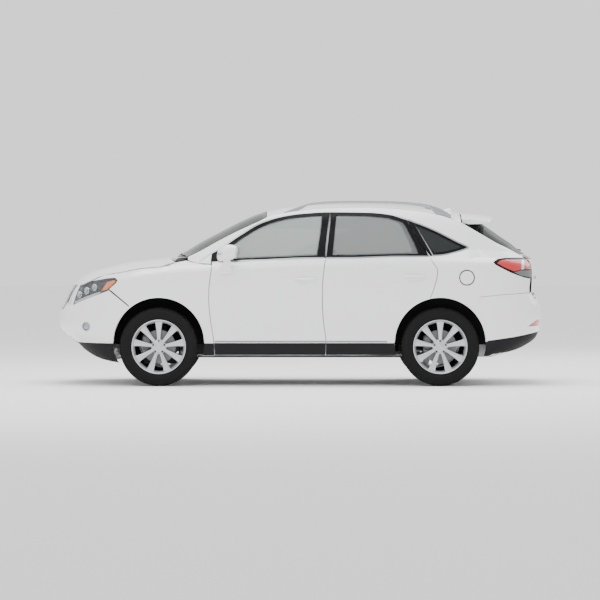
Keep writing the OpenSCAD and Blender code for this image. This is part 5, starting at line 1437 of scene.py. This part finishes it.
# ---------------------------------------------------------------- stage
def build_stage():
    """Pale floor, even light from all round, three soft lights and the side-on camera."""
    scene = bpy.context.scene
    floor = bmesh.new()
    bmesh.ops.create_grid(floor, x_segments=1, y_segments=1, size=60)
    plane = link("studio_floor", floor)
    pale = finish("Studio floor", (0.96, 0.96, 0.96), 0.85, 3, 0.02, Specular_IOR_Level=0.1)
    plane.data.materials.append(pale)
    world = bpy.data.worlds.new("Studio")
    scene.world = world
    world.use_nodes = True
    world.node_tree.nodes["Background"].inputs["Color"].default_value = (1, 1, 1, 1)
    world.node_tree.nodes["Background"].inputs["Strength"].default_value = 1.3
    for name, at, size, power in (("key", (-3.0, -7.0, 6.5), 6.0, 260), ("rear", (5.5, 6.0, 5.5), 6.0, 200),
                                  ("top", (0.0, 0.0, 7.5), 7.0, 620)):
        data = bpy.data.lights.new(name, "AREA")
        data.energy, data.size = power, size
        light = bpy.data.objects.new(name, data)
        light.location = at
        light.rotation_euler = (Vector((0, 0, 0.7)) - Vector(at)).to_track_quat("-Z", "Y").to_euler()
        scene.collection.objects.link(light)
    data = bpy.data.cameras.new("Side camera")
    data.lens, data.sensor_width = 221, 36
    data.clip_end = 200
    camera = bpy.data.objects.new("Side camera", data)
    near, height, aim = -0.936, 1.5, 0.822
    camera.location = (0, near - 35, height)
    camera.rotation_euler = (Vector((0, near, aim)) - camera.location).to_track_quat("-Z", "Y").to_euler()
    scene.collection.objects.link(camera)
    scene.camera = camera


# ---------------------------------------------------------------- operators and panel
def operator(name, label, build):
    """An operator class that runs one builder."""
    def execute(self, context):
        build()
        return {"FINISHED"}
    return type(f"SUV_OT_{name}", (bpy.types.Operator,), {
        "__doc__": build.__doc__, "bl_idname": f"suv.{name}", "bl_label": label,
        "bl_options": {"REGISTER", "UNDO"}, "execute": execute})


OPERATORS = [
    operator("stage", "Stage", build_stage),
    operator("fenders", "Wings", build_fenders),
    operator("doors", "Doors", build_doors),
    operator("quarters", "Rear quarters", build_quarters),
    operator("flap", "Fuel flap", build_flap),
    operator("hood", "Hood", build_hood),
    operator("roof", "Roof", build_roof),
    operator("screen", "Windshield", build_screen),
    operator("side_glass", "Side glass", build_side_glass),
    operator("nose", "Nose", build_nose),
    operator("headlights", "Headlights", build_headlights),
    operator("tail", "Tail", build_tail),
    operator("tail_lamps", "Tail lamps", build_tail_lamps),
    operator("mirrors", "Mirrors", build_mirrors),
    operator("handles", "Handles", build_handles),
    operator("rails", "Roof rails", build_rails),
    operator("arches", "Arch lips", build_arches),
    operator("wheels", "Wheels", build_wheels),
    operator("cabin", "Cabin", build_cabin),
    operator("underside", "Underside", build_underside),
]


class SUV_PT_parts(bpy.types.Panel):
    """Lists the sizes, the colours and the builders."""

    bl_label = "Suv"
    bl_idname = "SUV_PT_parts"
    bl_space_type = "VIEW_3D"
    bl_region_type = "UI"
    bl_category = "Suv"

    def draw(self, context):
        column = self.layout.column()
        for group in (context.scene.suv_sizes, context.scene.suv_colours):
            for key in group.bl_rna.properties.keys():
                if key not in ("rna_type", "name"):
                    column.prop(group, key)
        for cls in OPERATORS:
            column.operator(cls.bl_idname)


CLASSES = [SuvSizes, SuvColours, *OPERATORS, SUV_PT_parts]


def register():
    for cls in CLASSES:
        bpy.utils.register_class(cls)
    bpy.types.Scene.suv_sizes = PointerProperty(type=SuvSizes)
    bpy.types.Scene.suv_colours = PointerProperty(type=SuvColours)


def unregister():
    del bpy.types.Scene.suv_colours
    del bpy.types.Scene.suv_sizes
    for cls in reversed(CLASSES):
        bpy.utils.unregister_class(cls)


def main():
    """Builds every piece and writes the two boxes."""
    register()
    for cls in OPERATORS:
        area, name = cls.bl_idname.split(".")
        getattr(getattr(bpy.ops, area), name)()


if __name__ == "__main__":
    main()
